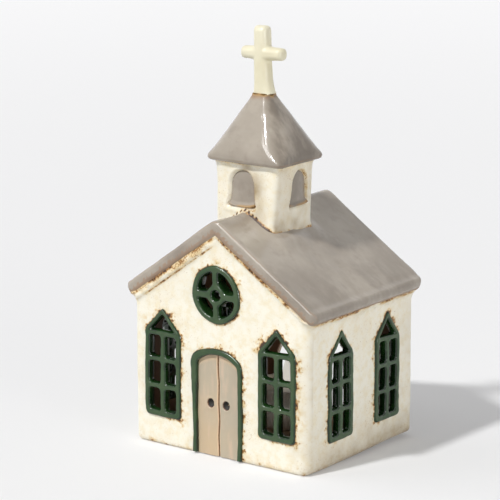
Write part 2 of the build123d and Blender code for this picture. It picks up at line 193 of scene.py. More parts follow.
def new_material(name, recipe):
    """A material whose surface is the shader that the recipe returns."""
    material = bpy.data.materials.new(name)
    material.use_nodes = True
    tree = material.node_tree
    tree.nodes.clear()
    shader = recipe(Wire(tree))
    shader.node("ShaderNodeOutputMaterial", None, {"Surface": shader})
    print(name, "has", len(tree.nodes), "nodes")
    return material


print("middle grey on screen is", round(colour(128, 128, 128)[0], 3), "in a shader")

# %% [markdown]
# ## Floor and light
# The chapel stands on a white sheet. The main light is a sun from the front left, which throws the
# belfry's shadow on the right slope. A wide second sun, low at the left, softens it, and a card at
# the right opens up the shaded side. One more card is only mirrored and lights nothing: it puts the
# white streak on the spire. The floor is white paint, which takes the shadow, with a glow that only
# the camera, mirrors and glass see, stronger far away. A brighter lamp would whiten the floor too,
# but it would burn out the cream walls.

# %% Floor and world
sheet_half = 4.0
sheet_paint = 0.70
sheet_glow = (0.18, 0.27)
glow_reach = (0.1, 2.6)
sky_on_clay = (0.29, 0.29, 0.30, 1.0)
sky_seen = grey(0.91)

sheet_mesh = bpy.data.meshes.new("floor_sheet")
sheet_corners = np.array([[-1, -1, 0], [1, -1, 0], [1, 1, 0], [-1, 1, 0]]) * sheet_half
sheet_mesh.from_pydata(sheet_corners.tolist(), [], [(0, 1, 2, 3)])
floor_sheet = bpy.data.objects.new("floor_sheet", sheet_mesh)
bpy.context.scene.collection.objects.link(floor_sheet)
floor_sheet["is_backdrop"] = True


def seen_directly(start):
    """1 for rays from the camera, mirrors and glass, and 0 for rays that carry light."""
    camera_ray, glossy_ray, glass_ray = (
        start.node("ShaderNodeLightPath", out=name)
        for name in ("Is Camera Ray", "Is Glossy Ray", "Is Transmission Ray"))
    return camera_ray.most(glossy_ray).most(glass_ray)


def white_sheet(start):
    """White paint plus a glow that grows with the distance and is only seen directly."""
    away = start.node("ShaderNodeVectorMath", {"operation": "LENGTH"}, {0: start.place()}, out="Value")
    glow_colour = away.between(*glow_reach).blend(grey(sheet_glow[0]), grey(sheet_glow[1]))
    paint = start.node("ShaderNodeBsdfDiffuse", None, {"Color": grey(sheet_paint)})
    glow = start.node("ShaderNodeEmission", None, {"Color": glow_colour})
    dark = start.node("ShaderNodeEmission", None, {"Strength": 0.0})
    shown = start.node("ShaderNodeMixShader", None, {0: seen_directly(start), 1: dark, 2: glow})
    return start.node("ShaderNodeAddShader", None, {0: paint, 1: shown})


sheet_mesh.materials.append(new_material("white_sheet", white_sheet))

world = bpy.data.worlds.new("studio")
world.use_nodes = True
world.node_tree.nodes.clear()
sky = Wire(world.node_tree)
sky_colour = seen_directly(sky).blend(sky_on_clay, sky_seen)
sky_shader = sky.node("ShaderNodeBackground", None, {"Color": sky_colour})
sky.node("ShaderNodeOutputWorld", None, {"Surface": sky_shader})
bpy.context.scene.world = world
print("floor sheet of", 2 * sheet_half, "m under a grey sky")

# %% Lamps
card_middle = np.array([0.0, 0.0, 0.08])
card_distance = 1.3


def studio_sun(name, round_degrees, up_degrees, spread_degrees, strength):
    """A lamp so far away that its light is even; its spread softens the shadows."""
    lamp = bpy.data.lights.new(name, "SUN")
    lamp.energy = strength
    lamp.angle = math.radians(spread_degrees)
    return put_up(name, lamp, (0, 0, 0), towards(round_degrees, up_degrees)[1])


def studio_card(name, round_degrees, up_degrees, width, height, watts):
    """An oblong lamp on a sphere round the chapel, facing its middle."""
    lamp = bpy.data.lights.new(name, "AREA")
    lamp.shape = "RECTANGLE"
    lamp.size = width
    lamp.size_y = height
    lamp.energy = watts
    out, turned = towards(round_degrees, up_degrees)
    return put_up(name, lamp, card_middle + card_distance * out, turned)


studio_sun("front_sun", -15, 50, 5, 2.27)
studio_sun("left_sun", -66, 34, 55, 0.66).visible_glossy = False
studio_card("right_card", 76, 5, 0.4, 0.2, 4.6)
studio_card("mirrored_card", -12, 34, 0.8, 0.4, 8.5).visible_diffuse = False
print("lamps:", ", ".join(lamp.name for lamp in bpy.data.lights))

# %% [markdown]
# ## Handwork
# Rolled clay is never flat and a cut edge is never straight. One smooth noise gives every piece its
# unevenness. The finished chapel also leans a little: its roof climbs to the rear, what stands on it
# sits slightly to the left, and one corner of the foot is lifted. All clay pieces pass through the
# same small shift, so they stay together. Sculpting would do it once; sums can be changed.

# %% Noise and slopes
code_steps = np.array([12.9898, 78.233, 37.719])
code_seed = 5.171
code_scale = 4375.8545


def lumps(points, size, seed):
    """Noise from -1 to 1: a chance value at each corner of a lattice, blended inside its cells."""
    cell = points / size
    corner = np.floor(cell)
    part = cell - corner
    part = part * part * (3 - 2 * part)
    total = 0.0
    for shift in np.ndindex(2, 2, 2):
        spot = corner + np.array(shift)
        code = np.sin(spot @ code_steps + seed * code_seed) * code_scale
        chance = code - np.floor(code)
        weight = np.prod(np.where(np.array(shift, bool), part, 1 - part), axis=-1)
        total = total + weight * chance
    return 2 * total - 1


def uneven(points, base, *layers):
    """A base value plus layers of noise, each given by its share, the size of its lumps in mm and
    its seed."""
    return base + sum(share * lumps(points, size, seed) for share, size, seed in layers)


def ease(low, high, value):
    """0 up to low, 1 from high on, and a smooth S between them; low may be the larger one."""
    share = np.clip((value - low) / (high - low), 0, 1)
    return share * share * (3 - 2 * share)


def fade(distance, length):
    """1 at no distance or less, and smaller by a factor of e for each length."""
    return np.exp(-np.maximum(distance, 0) / length)


def hump(value, middle, width):
    """A bell curve: 1 at the middle and a factor of e less at the width to each side."""
    return np.exp(-(((value - middle) / width) ** 2))


print("lumps of 2, 5 and 9 mm at one point:", [round(float(lumps(np.ones(3), s, 1)), 2) for s in (2, 5, 9)])

# %% Lean
# The zones are heights, and the lifted ones places, between which a shift comes in and goes out
roof_climb = 0.026
roof_zone = (48, 74, 112, 126)
eave_sag = 1.2
eave_reach = 54
eave_zone = (62, 70, 104, 110)
upper_lean = 0.9
upper_zone = (58, 104)
foot_lift = 2.0
lifted_x = (20, 49)
lifted_y = (-30, 40)
lifted_z = (0, 14)


def zone(value, low, full, going, gone):
    """Comes in smoothly from low to full and goes out again from going to gone."""
    return ease(low, full, value) * (1 - ease(going, gone, value))


def settle(points):
    """The lean: near the roof a point rises by a share of its y and sinks towards the eaves, higher
    up it moves to -x, and at the foot the rear right corner is lifted."""
    x, y, z = points[..., 0], points[..., 1], points[..., 2]
    sag = eave_sag * np.abs(x) / eave_reach * zone(z, *eave_zone)
    lifted = foot_lift * ease(*lifted_x, x) * ease(*lifted_y, y) * (1 - ease(*lifted_z, z))
    climbed = z + roof_climb * y * zone(z, *roof_zone) - sag + lifted
    return np.stack([x - upper_lean * ease(*upper_zone, z), y, climbed], axis=-1)


print("lean at the ridge:", settle(np.array([0.0, -43.0, 110.0])).round(2))

# %% [markdown]
# ## Slabs on a grid
# Every flat clay piece is a slab: a front sheet and a back sheet on the same grid of points. Cells
# of the grid that lie in an opening are left out, the points along the opening slide onto its
# outline, and a strip of faces joins the two sheets wherever a kept cell ends. Cutting holes with
# boolean modifiers would give harder edges and worse faces.


# %% Sheets and slabs
def cells_of(across, up, closed=False):
    """The four point numbers of each cell of a grid; a closed one ends on its first column."""
    index = np.arange(across * up).reshape(across, up)
    if closed:
        index[-1] = index[0]
    return np.stack([index[:-1, :-1], index[1:, :-1], index[1:, 1:], index[:-1, 1:]], axis=-1)


def tube(sheet):
    """The points and faces of one sheet that closes on itself."""
    return sheet[None], cells_of(*sheet.shape[:2], closed=True).reshape(-1, 4)


def slab(front, back, keep=None, closed=False):
    """Faces of a front sheet, of a back sheet turned round, and of the strip along open edges."""
    across, up = front.shape[:2]
    if keep is None:
        keep = np.ones((across - 1, up - 1), bool)
    cells = cells_of(across, up, closed)
    padded = np.pad(keep, 1)
    if closed:
        padded[0, 1:-1] = keep[-1]
        padded[-1, 1:-1] = keep[0]
    behind = across * up
    faces = [cells[keep], cells[keep][:, ::-1] + behind]
    beside = (padded[1:-1, :-2], padded[2:, 1:-1], padded[1:-1, 2:], padded[:-2, 1:-1])
    for side, neighbour in enumerate(beside):
        ends = cells[keep & ~neighbour]
        first = ends[:, side]
        second = ends[:, (side + 1) % 4]
        faces.append(np.stack([second, first, first + behind, second + behind], axis=-1))
    return np.stack([front, back]), np.concatenate(faces)


one_cell = np.zeros((2, 2, 3))
print("a slab of one cell has", len(slab(one_cell, one_cell)[1]), "faces")

# %% Cutting along an outline
slide_steps = 4
slope_probe = 0.02
least_slope = 0.3


def middles(grid):
    """The mean of the four corners of each cell."""
    return (grid[:-1, :-1] + grid[1:, :-1] + grid[1:, 1:] + grid[:-1, 1:]) / 4


def on_outline(across, up, keep, field, reach):
    """Slide the points where kept cells end along the field's slope onto its zero line."""
    padded = np.pad(keep, 1).astype(int)
    around = padded[:-1, :-1] + padded[1:, :-1] + padded[1:, 1:] + padded[:-1, 1:]
    edge = (around > 0) & (around < 4) & (np.abs(field(across, up)) < reach)
    a = across[edge]
    u = up[edge]
    small = slope_probe
    for _ in range(slide_steps):
        value = field(a, u)
        slope_a = (field(a + small, u) - field(a - small, u)) / (2 * small)
        slope_u = (field(a, u + small) - field(a, u - small)) / (2 * small)
        steep = np.maximum(slope_a**2 + slope_u**2, least_slope)
        a = a - value * slope_a / steep
        u = u - value * slope_u / steep
    across = across.copy()
    up = up.copy()
    across[edge] = a
    up[edge] = u
    return across, up


def cut_grid(field, low, high, step):
    """A grid over an oblong: the cells inside the field are kept and their edge lies on its line."""
    across, up = np.meshgrid(np.arange(low[0], high[0], step), np.arange(low[1], high[1], step),
                             indexing="ij")
    keep = middles(field(across, up)) < 0
    return *on_outline(across, up, keep, field, 2 * step), keep


disc = cut_grid(lambda a, u: np.hypot(a, u) - 5, (-6, -6), (6.5, 6.5), 0.5)
print("a disc of 5 mm cut from the grid keeps", int(disc[2].sum()), "cells")

# %% Pieces
weld_distance = 0.001 * mm
glazes = {}


def make_piece(name, shape, glaze, node, slot=None, sharp=50, **values):
    """A mesh in metres from the settled sheets of a shape in mm. Each value has one array or number
    per sheet and goes to the points for the glaze. Points that meet, as at a pole or where two
    sheets close, are welded."""
    points, faces = shape
    sheet_size = points.shape[1:3]
    used, faces = np.unique(faces, return_inverse=True)
    faces = faces.reshape(-1, 4).astype(np.int32)
    mesh = bpy.data.meshes.new(name)
    mesh.vertices.add(len(used))
    mesh.vertices.foreach_set("co", (settle(points).reshape(-1, 3)[used] * mm).astype(np.float32).ravel())
    mesh.loops.add(faces.size)
    mesh.loops.foreach_set("vertex_index", faces.ravel())
    mesh.polygons.add(len(faces))
    mesh.polygons.foreach_set("loop_start", np.arange(0, faces.size, 4, dtype=np.int32))
    mesh.update(calc_edges=True)
    for key, sheets in values.items():
        layer = mesh.attributes.new(key, "FLOAT", "POINT")
        on_points = np.stack([np.broadcast_to(sheet, sheet_size) for sheet in sheets]).astype(np.float32)
        layer.data.foreach_set("value", on_points.ravel()[used])
    clay = bmesh.new()
    clay.from_mesh(mesh)
    bmesh.ops.remove_doubles(clay, verts=clay.verts, dist=weld_distance)
    clay.to_mesh(mesh)
    clay.free()
    mesh.validate()
    mesh.shade_smooth()
    mesh.set_sharp_from_angle(angle=math.radians(sharp))
    mesh.materials.append(glazes[glaze])
    piece = bpy.data.objects.new(name, mesh)
    bpy.context.scene.collection.objects.link(piece)
    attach(piece, "house")
    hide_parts(node)
    print(name, "stands for", node, "with", len(mesh.polygons), "faces")


def rounded(depth, radius):
    """How far a rounded edge falls away at this depth inside the outline: a quarter circle."""
    inner = radius - np.clip(depth, 0, radius)
    return radius - np.sqrt(np.maximum(radius**2 - inner**2, 0))


print("an edge of 2 mm falls by", rounded(np.array([0.0, 0.5, 1.0, 2.0]), 2.0).round(2))

# %% [markdown]
# ## Glazes
# The chapel has five glazes and one bare clay. The cream one is satin with fine specks; it burns to
# amber and brown in a crust where it meets the green, and is tan as painted shade on the right sides,
# under the eave and beside a niche, with a tan line along the feet. The taupe one is glossy and pools
# into clouds, is thin and brown on edges, burns to amber at joints and is darker on the right side as
# painted shade, with streaks of painted dark reflection on the spire. The green one is dull on the
# face and dark and wet on the cut edges. The doors have a beige glaze that streaks downwards, with a
# painted highlight along the edges of the leaves and painted shade in the handle pits, and the cross
# an even ivory one. Painted images would fix each of the stains by hand. Here noise gives the grain,
# and the values that a piece carries on its points say where it is burnt, where painted shade or
# stains make it tan, where it is thin and where painted shade darkens it on the right, so the same
# recipe works on any shape.


# %% Cream glaze
def glazed(start, skin, rough, height, strength, depth, **more):
    """A surface with a colour, a roughness and a height that bumps it by up to the depth."""
    bump = {"Strength": strength, "Distance": depth, "Height": height}
    relief = start.node("ShaderNodeBump", None, bump)
    sockets = {"Base Color": skin, "Roughness": rough, "Normal": relief, **more}
    return start.node("ShaderNodeBsdfPrincipled", None, sockets)


def cream_glaze(start):
    """Cream, warmed where burnt, tan as painted shade and along the feet, freckled, then scorched amber
    and brown, which round a niche on the right face is partly painted shade; dark brown inside.
    """
    place = start.place()
    burn = start.read("burn")
    stain = start.read("stain")
    inside = start.read("inside")
    cloud = start.noise(place, 45.0, 3.0, 0.6)
    curd = start.noise(place, 260.0, 4.0, 0.65)
    grain = start.noise(place, 1000.0, 3.0, 0.6)
    dust = start.noise(place, 1700.0, 2.0, 0.6)
    cream = curd.between(0.40, 0.70).blend(colour(248, 243, 226), colour(243, 233, 205))
    cream = (cloud.between(0.45, 0.75) * 0.3).blend(cream, colour(238, 222, 188))
    warm = (burn * 1.2 + (curd - 0.5) * 0.5).between(0.12, 0.5) * 0.85
    cream = warm.blend(cream, colour(231, 204, 150))
    # Tan as painted shade on the right sides, under the eave and beside the front niche, and along the feet
    cream = (stain + (curd - 0.5) * 0.6 * stain).blend(cream, colour(172, 152, 119))
    freckles = (dust + burn * 0.24 + (cloud - 0.5) * 0.22).between(0.68, 0.75) * 0.7
    cream = freckles.blend(cream, colour(172, 134, 86))
    scorch = burn + (grain - 0.5) * 1.7 * burn.between(0.06, 0.4)
    cream = scorch.between(0.38, 0.58).blend(cream, colour(168, 120, 62))
    cream = scorch.between(0.62, 0.86).blend(cream, colour(64, 42, 25))
    # The inner faces get a brown much darker than the bare floor
    inside_brown = cloud.between(0.3, 0.7).blend(colour(132, 96, 66), colour(104, 72, 48))
    skin = inside.between(0.3, 0.7).blend(cream, inside_brown)
    height = grain * 0.35 + dust * 0.12 + curd * 0.5
    sheen = 0.30 + scorch.between(0.4, 0.8) * 0.2 + inside * 0.3
    return glazed(start, skin, sheen, height, 0.4, 0.0005, IOR=1.5)


glazes["cream_glaze"] = new_material("cream_stoneware_glaze", cream_glaze)


# %% Taupe glaze
def taupe_glaze(start):
    """Taupe in clouds, pools and runs, darker on the right as painted shade in streaks of painted dark
    reflection, brown and matt where thin, amber at joints.
    """
    place = start.place()
    edge = start.read("edge")
    burn = start.read("burn")
    deep = start.read("deep")
    cloud = start.noise(place, 34.0, 4.0, 0.55)
    pool = start.noise(place, 130.0, 3.0, 0.6)
    grain = start.noise(place, 800.0, 2.0)
    downhill = start.node("ShaderNodeMapping", None, {"Vector": place, "Scale": (0.45, 1.0, 0.45)})
    runs = start.noise(downhill, 95.0, 4.0, 0.6)
    taupe = cloud.between(0.34, 0.66).blend(colour(152, 142, 129), colour(174, 164, 150))
    taupe = (pool.between(0.5, 0.75) * 0.35).blend(taupe, colour(136, 124, 113))
    taupe = (runs.between(0.5, 0.72) * 0.4).blend(taupe, colour(190, 181, 167))
    # Painted shade: darker on the right side, streaked by the runs as painted dark reflection
    taupe = (deep * (0.12 + runs.between(0.38, 0.62) * 1.1)).blend(taupe, colour(104, 93, 80))
    thin = 1.0 - (edge + (pool - 0.5) * 1.2).between(0.0, 0.8)
    taupe = (thin * 0.6).blend(taupe, colour(160, 128, 104))
    scorch = burn + (grain - 0.5) * 0.5 * burn
    taupe = scorch.between(0.15, 0.45).blend(taupe, colour(178, 146, 104))
    taupe = scorch.between(0.42, 0.8).blend(taupe, colour(112, 86, 50))
    height = cloud * 1.2 + pool * 0.2 + runs * 0.35
    sheen = 0.24 + burn * 0.25 + thin * 0.22
    gloss = {
        "Specular IOR Level": 0.05,
        "Coat Weight": 1.0 - (burn * 0.9).most(thin.between(0.0, 0.6)),
        "Coat Roughness": 0.11,
    }
    return glazed(start, taupe, sheen, height, 0.22, 0.0008, IOR=1.5, **gloss)


glazes["taupe_glaze"] = new_material("taupe_gloss_glaze", taupe_glaze)


# %% Green glaze
def green_glaze(start):
    """A dull green face that turns dark and wet towards a cut edge."""
    place = start.place()
    cloud = start.noise(place, 90.0, 4.0, 0.6)
    grain = start.noise(place, 900.0, 2.0)
    face = cloud.between(0.35, 0.66).blend(colour(39, 67, 33), colour(57, 79, 45))
    cut = cloud.between(0.4, 0.6).blend(colour(16, 38, 16), colour(28, 58, 24))
    on_face = (start.read("edge") + (cloud - 0.5) * 0.5).between(0.25, 0.95)
    height = cloud * 0.6 + grain * 0.12
    sheen = 0.12 + on_face * 0.26
    return glazed(start, on_face.blend(cut, face), sheen, height, 0.3, 0.0005, IOR=1.52)


glazes["green_glaze"] = new_material("green_window_glaze", green_glaze)


# %% Door glaze
def door_glaze(start):
    """Beige, warmer by a value, with streaks, a painted highlight along the edges, a burnt seam,
    painted shade by the left jamb and near-black painted shade in the pits.
    """
    place = start.place()
    edge = start.read("edge")
    burn = start.read("burn")
    warm = start.read("warm")
    stretch = start.node("ShaderNodeMapping", None, {"Vector": place, "Scale": (1.0, 1.0, 0.22)})
    streak = start.noise(stretch, 220.0, 3.0)
    cloud = start.noise(place, 70.0, 3.0)
    grain = start.noise(place, 900.0, 2.0)
    warmth = (warm + (cloud - 0.5) * 0.8).between(0.2, 0.9)
    beige = warmth.blend(colour(186, 174, 152), colour(204, 180, 146))
    beige = (streak.between(0.48, 0.7) * 0.6).blend(beige, colour(216, 190, 164))
    beige = warm.between(1.1, 2.0).blend(beige, colour(202, 160, 136))
    # Painted highlight: a pale band along the edges of the leaves
    lip = (1.0 - (edge + (streak - 0.5) * 0.6).between(0.25, 0.9)) * 0.85
    beige = lip.blend(beige, colour(238, 208, 172))
    # Brown where the seam is burnt, and as painted shade in the crease by the left jamb
    beige = (burn + (grain - 0.5) * 0.4 * burn).between(0.3, 0.8).blend(beige, colour(104, 64, 38))
    # Near-black painted shade in the handle pits
    beige = burn.between(0.85, 1.05).blend(beige, colour(34, 32, 26))
    height = streak * 0.6 + grain * 0.1
    return glazed(start, beige, 0.3 + streak * 0.1 + burn * 0.3, height, 0.25, 0.0004, IOR=1.5)


glazes["door_glaze"] = new_material("beige_door_glaze", door_glaze)


# %% Plain finishes
def plain(light, dark, scale, rough, **more):
    """A finish that drifts between two colours, with a fine grain in its relief."""

    def recipe(start):
        """Clouds of the scale blend the colours, and noise twelve times finer is the height."""
        place = start.place()
        cloud = start.noise(place, scale, 3.0)
        grain = start.noise(place, scale * 12, 2.0)
        skin = cloud.between(0.3, 0.7).blend(colour(*light), colour(*dark))
        return glazed(start, skin, rough + cloud * 0.12, grain, 0.15, 0.0002, **more)

    return recipe


ivory = plain((234, 228, 201), (226, 218, 187), 70.0, 0.28)
bare_clay = plain((206, 184, 150), (176, 150, 116), 60.0, 0.7)
glazes["ivory_glaze"] = new_material("ivory_cross_glaze", ivory)
glazes["bisque"] = new_material("bare_stoneware", bare_clay)

# %% [markdown]
# ## Outlines
# A piece is cut to an outline with a knife. Here an outline is a field: the distance to the line,
# less than nothing inside. The smooth maximum of two fields is their meeting with a soft corner,
# so panes with knife-worn corners come from a few sums.

# %% Fields
body_half_width = 49.6
body_half_depth = 41.5
wall_thickness = 4.2
eave_height = 70.4
gable_height = 102.6
roof_pitch = (gable_height - eave_height) / body_half_width


def flat(across, up):
    """Points of a plane, for noise that follows the plane."""
    return np.stack([across, up, 0 * across], axis=-1)


def soft_max(first, second, soft):
    """The larger of two fields, raised where they are within soft of each other."""
    near = np.maximum(soft - np.abs(first - second), 0)
    return np.maximum(first, second) + near**2 / (4 * soft)


def soft_min(first, second, soft):
    """The smaller of two fields, lowered where they are within soft of each other."""
    return -soft_max(-first, -second, soft)


def oblong(across, up, middle, half, radius):
    """Distance to an oblong with round corners."""
    a = np.abs(across - middle[0]) - half[0] + radius
    u = np.abs(up - middle[1]) - half[1] + radius
    return np.hypot(np.maximum(a, 0), np.maximum(u, 0)) + np.minimum(np.maximum(a, u), 0) - radius


print("the roof rises", round(roof_pitch, 3), "mm for each mm across")

# %% Window outlines
window_sill = 13.5
window_shoulder = 52.6
window_apex = 64.5
window_soft = 1.2
window_frame = 2.9
window_foot = 3.0
mullion = 3.0
glazing_bar = 2.5
pane_height = 9.7
pane_corner = 1.3
pane_soft = 0.5
light_foot = 53.1
slant_frame = 2.3


def pointed(across, up, half, inset):
    """Two slants that meet at the apex, moved inwards by the inset."""
    slant = math.atan2(window_apex - window_shoulder, half)
    rise = (up - window_apex) * math.cos(slant) + inset
    return soft_max(rise + across * math.sin(slant), rise - across * math.sin(slant), window_soft)


def lancet(across, up, half):
    """An upright with a pointed head: two sides, a sill and two slants, with soft corners."""
    body = soft_max(np.abs(across) - half, window_sill - up, 2 * window_soft)
    return soft_max(body, pointed(across, up, half, 0.0), window_soft)


def tracery(across, up, half):
    """A lancet less two columns of three panes and less the triangle above them."""
    field = lancet(across, up, half)
    pane_half = (half - window_frame - mullion / 2) / 2
    pane_middle = mullion / 2 + pane_half
    for row in range(3):
        height = window_sill + window_foot + pane_height / 2 + row * (pane_height + glazing_bar)
        pane = oblong(np.abs(across), up, (pane_middle, height), (pane_half, pane_height / 2), pane_corner)
        field = soft_max(field, -pane, pane_soft)
    triangle = soft_max(pointed(across, up, half, slant_frame), light_foot - up, window_soft)
    return soft_max(field, -triangle, pane_soft)


rose_radius = 13.55
rose_rim = 3.1
rose_spoke = 3.4
rose_hub = 5.0
rose_eye = 2.4
rose_soft = 1.6


def rose(across, up):
    """A rim, a hub and four spokes, joined softly, less the eye."""
    away = np.hypot(across, up)
    rim = np.abs(away - rose_radius + rose_rim / 2) - rose_rim / 2
    spokes = np.minimum(np.abs(across), np.abs(up)) - rose_spoke / 2
    joined = soft_min(rim, soft_min(away - rose_hub, spokes, rose_soft), rose_soft)
    return soft_max(soft_max(joined, away - rose_radius, 0.3), rose_eye - away, 0.4)


print("panes are", pane_height, "mm tall, and the rose's eye is", 2 * rose_eye, "mm wide")

# %% [markdown]
# ## Where the openings are
# The four wall faces are planes with a direction to the right, as seen from outside, and one
# outwards. Windows sit on them at a place across, and each has its own seed, because no two were
# cut alike.

# %% Planes
planes = {
    "front": (np.array([0, -body_half_depth, 0]), np.array([1, 0, 0]), np.array([0, -1, 0])),
    "right": (np.array([body_half_width, 0, 0]), np.array([0, 1, 0]), np.array([1, 0, 0])),
    "rear": (np.array([0, body_half_depth, 0]), np.array([-1, 0, 0]), np.array([0, 1, 0])),
    "left": (np.array([-body_half_width, 0, 0]), np.array([0, -1, 0]), np.array([-1, 0, 0])),
}
upwards = np.array([0, 0, 1])


def placed(frame_of_three, across, up, out):
    """An origin plus across, up and out along its sideways, upward and outward directions."""
    origin, sideways, outwards = frame_of_three
    return origin + across[..., None] * sideways + up[..., None] * upwards + out[..., None] * outwards


print("wall faces:", ", ".join(planes))

# %% Windows
# Each window has its plane, its middle across, half width, lift, added height and seed
window_places = {
    "front_left_window": ("front", -32.0, 10.5, 0.0, 1.3, 3),
    "front_right_window": ("front", 32.9, 10.5, 0.0, 1.1, 5),
    "right_front_window": ("right", -17.4, 9.6, -1.6, 0.0, 7),
    "right_rear_window": ("right", 18.8, 9.6, -0.4, -0.2, 11),
    "left_front_window": ("left", 18.0, 9.6, 0.0, 0.4, 13),
    "left_rear_window": ("left", -18.0, 9.6, 0.0, 0.2, 17),
}
knife_wobble = 0.3


def in_window(name, outline):
    """A field of a window's outline in the wall's measure: moved, stretched and wobbled."""
    _, middle, half, lift, taller, seed = window_places[name]

    def field(across, up):
        """The outline where the point would be in a window that was cut exactly."""
        spot = flat(across, up)
        stretch = taller * (up - window_sill) / (window_apex - window_sill)
        a = across - middle + knife_wobble * lumps(spot, 7.0, seed)
        u = up - lift - stretch + knife_wobble * lumps(spot, 8.0, seed + 1)
        return outline(a, u, half)

    return field


print(len(window_places), "windows")

# %% Rose and door
rose_middle = (-0.7, 76.0)
rose_wobble = 0.25


def rose_cut(across, up):
    """The rose at its place in the gable, with the wobble of the knife."""
    wobble = rose_wobble * lumps(flat(across, up), 6.0, 23)
    return rose(across - rose_middle[0] + wobble, up - rose_middle[1] - wobble)


def rose_outline(across, up):
    """Distance to the rim of the rose."""
    return np.hypot(across - rose_middle[0], up - rose_middle[1]) - rose_radius


door_middle = -0.35
door_half = 14.1
door_foot = 0.8
door_crown = 50.3
door_arch_radius = 20.7
door_far_below = -40.0
arc_from = 30


def door_arch(across, up, inset):
    """An upright under an arc: two sides and a circle, all moved inwards by the inset."""
    a = across - door_middle
    arc = np.hypot(a, up - (door_crown - door_arch_radius)) - (door_arch_radius - inset)
    sides = soft_max(np.abs(a) - (door_half - inset), door_far_below - up, 0.5)
    return np.where(up > arc_from, soft_max(sides, arc, 0.8), sides)


print("the rose is", round(2 * rose_radius, 1), "mm across and the door", round(2 * door_half, 1))

# %% [markdown]
# ## Green window panels
# Each window is a panel of clay let into the wall, with its panes cut through. The grid is fine, a
# third of a millimetre, so that the cut edges can be rounded in the mesh and catch the light. A
# Bevel modifier would need clean edges, which a knife in wet clay doesn't leave.

# %% Window panels
panel_step = 0.33
panel_proud = 1.0
panel_depth = 3.2
panel_edge = 0.95
rose_depth = 5.4
panel_margin = np.array([1.5, 3.0])


def pierced_panel(name, plane, field, low, high, node, depth_in):
    """A slab cut to a field: its face falls away in a quarter circle towards every cut edge."""
    across, up, keep = cut_grid(field, low, high, panel_step)
    depth = -field(across, up)
    fall = rounded(depth, panel_edge)
    hand = uneven(flat(across, up), 0, (0.14, 5.0, low[0]), (0.1, 2.2, 2))
    front = placed(planes[plane], across, up, panel_proud - fall + hand)
    back = placed(planes[plane], across, up, fall - depth_in)
    make_piece(name, slab(front, back, keep), "green_glaze", node, edge=(np.clip(depth, 0, 5), 0))


for window, (plane, middle, half, *_) in window_places.items():
    low = np.array([middle - half, window_sill]) - panel_margin
    high = np.array([middle + half, window_apex]) + panel_margin
    depth_in = wall_thickness if plane == "left" else panel_depth
    pierced_panel(window + "_panel", plane, in_window(window, tracery), low, high, window, depth_in)
rose_low = np.array(rose_middle) - 15
rose_high = np.array(rose_middle) + 15
pierced_panel("rose_panel", "front", rose_cut, rose_low, rose_high, "rose_window", rose_depth)

# %% [markdown]
# ## Walls
# The walls are rolled slabs, cream outside and dark brown inside. The front and rear ones turn round
# the corners, so their grid runs on round a quarter circle. Under the roof the clay swells outwards in
# the bead that luted the joint, and round the windows the glaze has burnt to a rough crust. Both
# are moved in the mesh, and how burnt each point is, and how much tan it gets, as painted shade on the
# right side and as a line along the foot, goes to the glaze.

# %% Wall shape
wall_corner = 4.05
wall_step = 0.5
foot_round = 1.9
foot_rounder = 1.3
roof_tuck = 1.0
foot_rows = np.array([0.0, 0.08, 0.22, 0.45, 0.78, 1.2, 1.7, 2.25, 2.8])
eave_row = 58.0
inner_corner = 0.03


def under_roof(x):
    """Height of the roof's underside: the gable less the pitch times the distance from the middle."""
    return gable_height - roof_pitch * np.abs(x)


def wall_grid(straight, turned):
    """Columns across the face and, where turned, round both corners; rows from foot to roof."""
    columns = np.linspace(-straight, straight, int(2 * straight / wall_step) + 1)
    if turned:
        bend = np.linspace(0, wall_corner * math.pi / 2, 11)[1:]
        columns = np.concatenate([-straight - bend[::-1], columns, straight + bend])
    upper_rows = np.arange(foot_rows[-1] + wall_step, gable_height + roof_tuck, wall_step)
    rows = np.concatenate([foot_rows, upper_rows])
    return np.meshgrid(columns, rows, indexing="ij")


def wall_bend(straight, across):
    """How far a column has gone past the straight part, as an angle round the corner."""
    return np.clip(np.abs(across) - straight, 0, None) / wall_corner


def wall_sheets(plane, straight, across, up, out):
    """Outer and inner points: the face moved out along its normal, which swings at the corners."""
    bend = wall_bend(straight, across)
    radius = wall_corner + out
    side = np.sign(across)
    a = np.where(bend > 0, side * (straight + radius * np.sin(bend)), across)
    o = np.where(bend > 0, radius * np.cos(bend) - wall_corner, out)
    past = side * (straight + inner_corner * (np.abs(across) - straight))
    outer = placed(planes[plane], a, up, o)
    inner = placed(planes[plane], np.where(bend > 0, past, across), up, np.full_like(up, -wall_thickness))
    return outer, inner


print("a wall that turns has", wall_grid(body_half_width - wall_corner, True)[0].shape, "points")


# %% Burnt and stained glaze
def crust(distance, weight, spot, seed):
    """Burning of the glaze: a thin crust at a green edge and a wider scorched halo, in grains."""
    grains = np.clip(uneven(spot, 0.5, (0.5, 1.9, seed), (0.45, 1.0, seed + 1)), 0, 1.3)
    halo = 0.27 * fade(distance, 5.0) * uneven(spot, 0.7, (0.5, 4.0, seed + 2))
    specks = 0.62 * fade(distance, 3.2) * grains**1.5
    return weight * np.maximum(halo, 0.5 * fade(distance, 0.1 + 0.8 * grains) + specks)


def opening_burn(across, up, distance, burnt_side, middle, reach, head):
    """The crust round an opening, heavier on its burnt side and at its head and soon gone above."""
    to_side = ease(-0.5, 1.0, burnt_side * (across - middle) / reach)
    weight = np.clip(0.25 + 0.7 * to_side + 0.75 * ease(head - 3, head + 3, up), 0, 1.15)
    above_head = 0.7 * np.maximum(up - head - 11.5, 0)
    return crust(distance + above_head, weight, flat(across, up), 36)


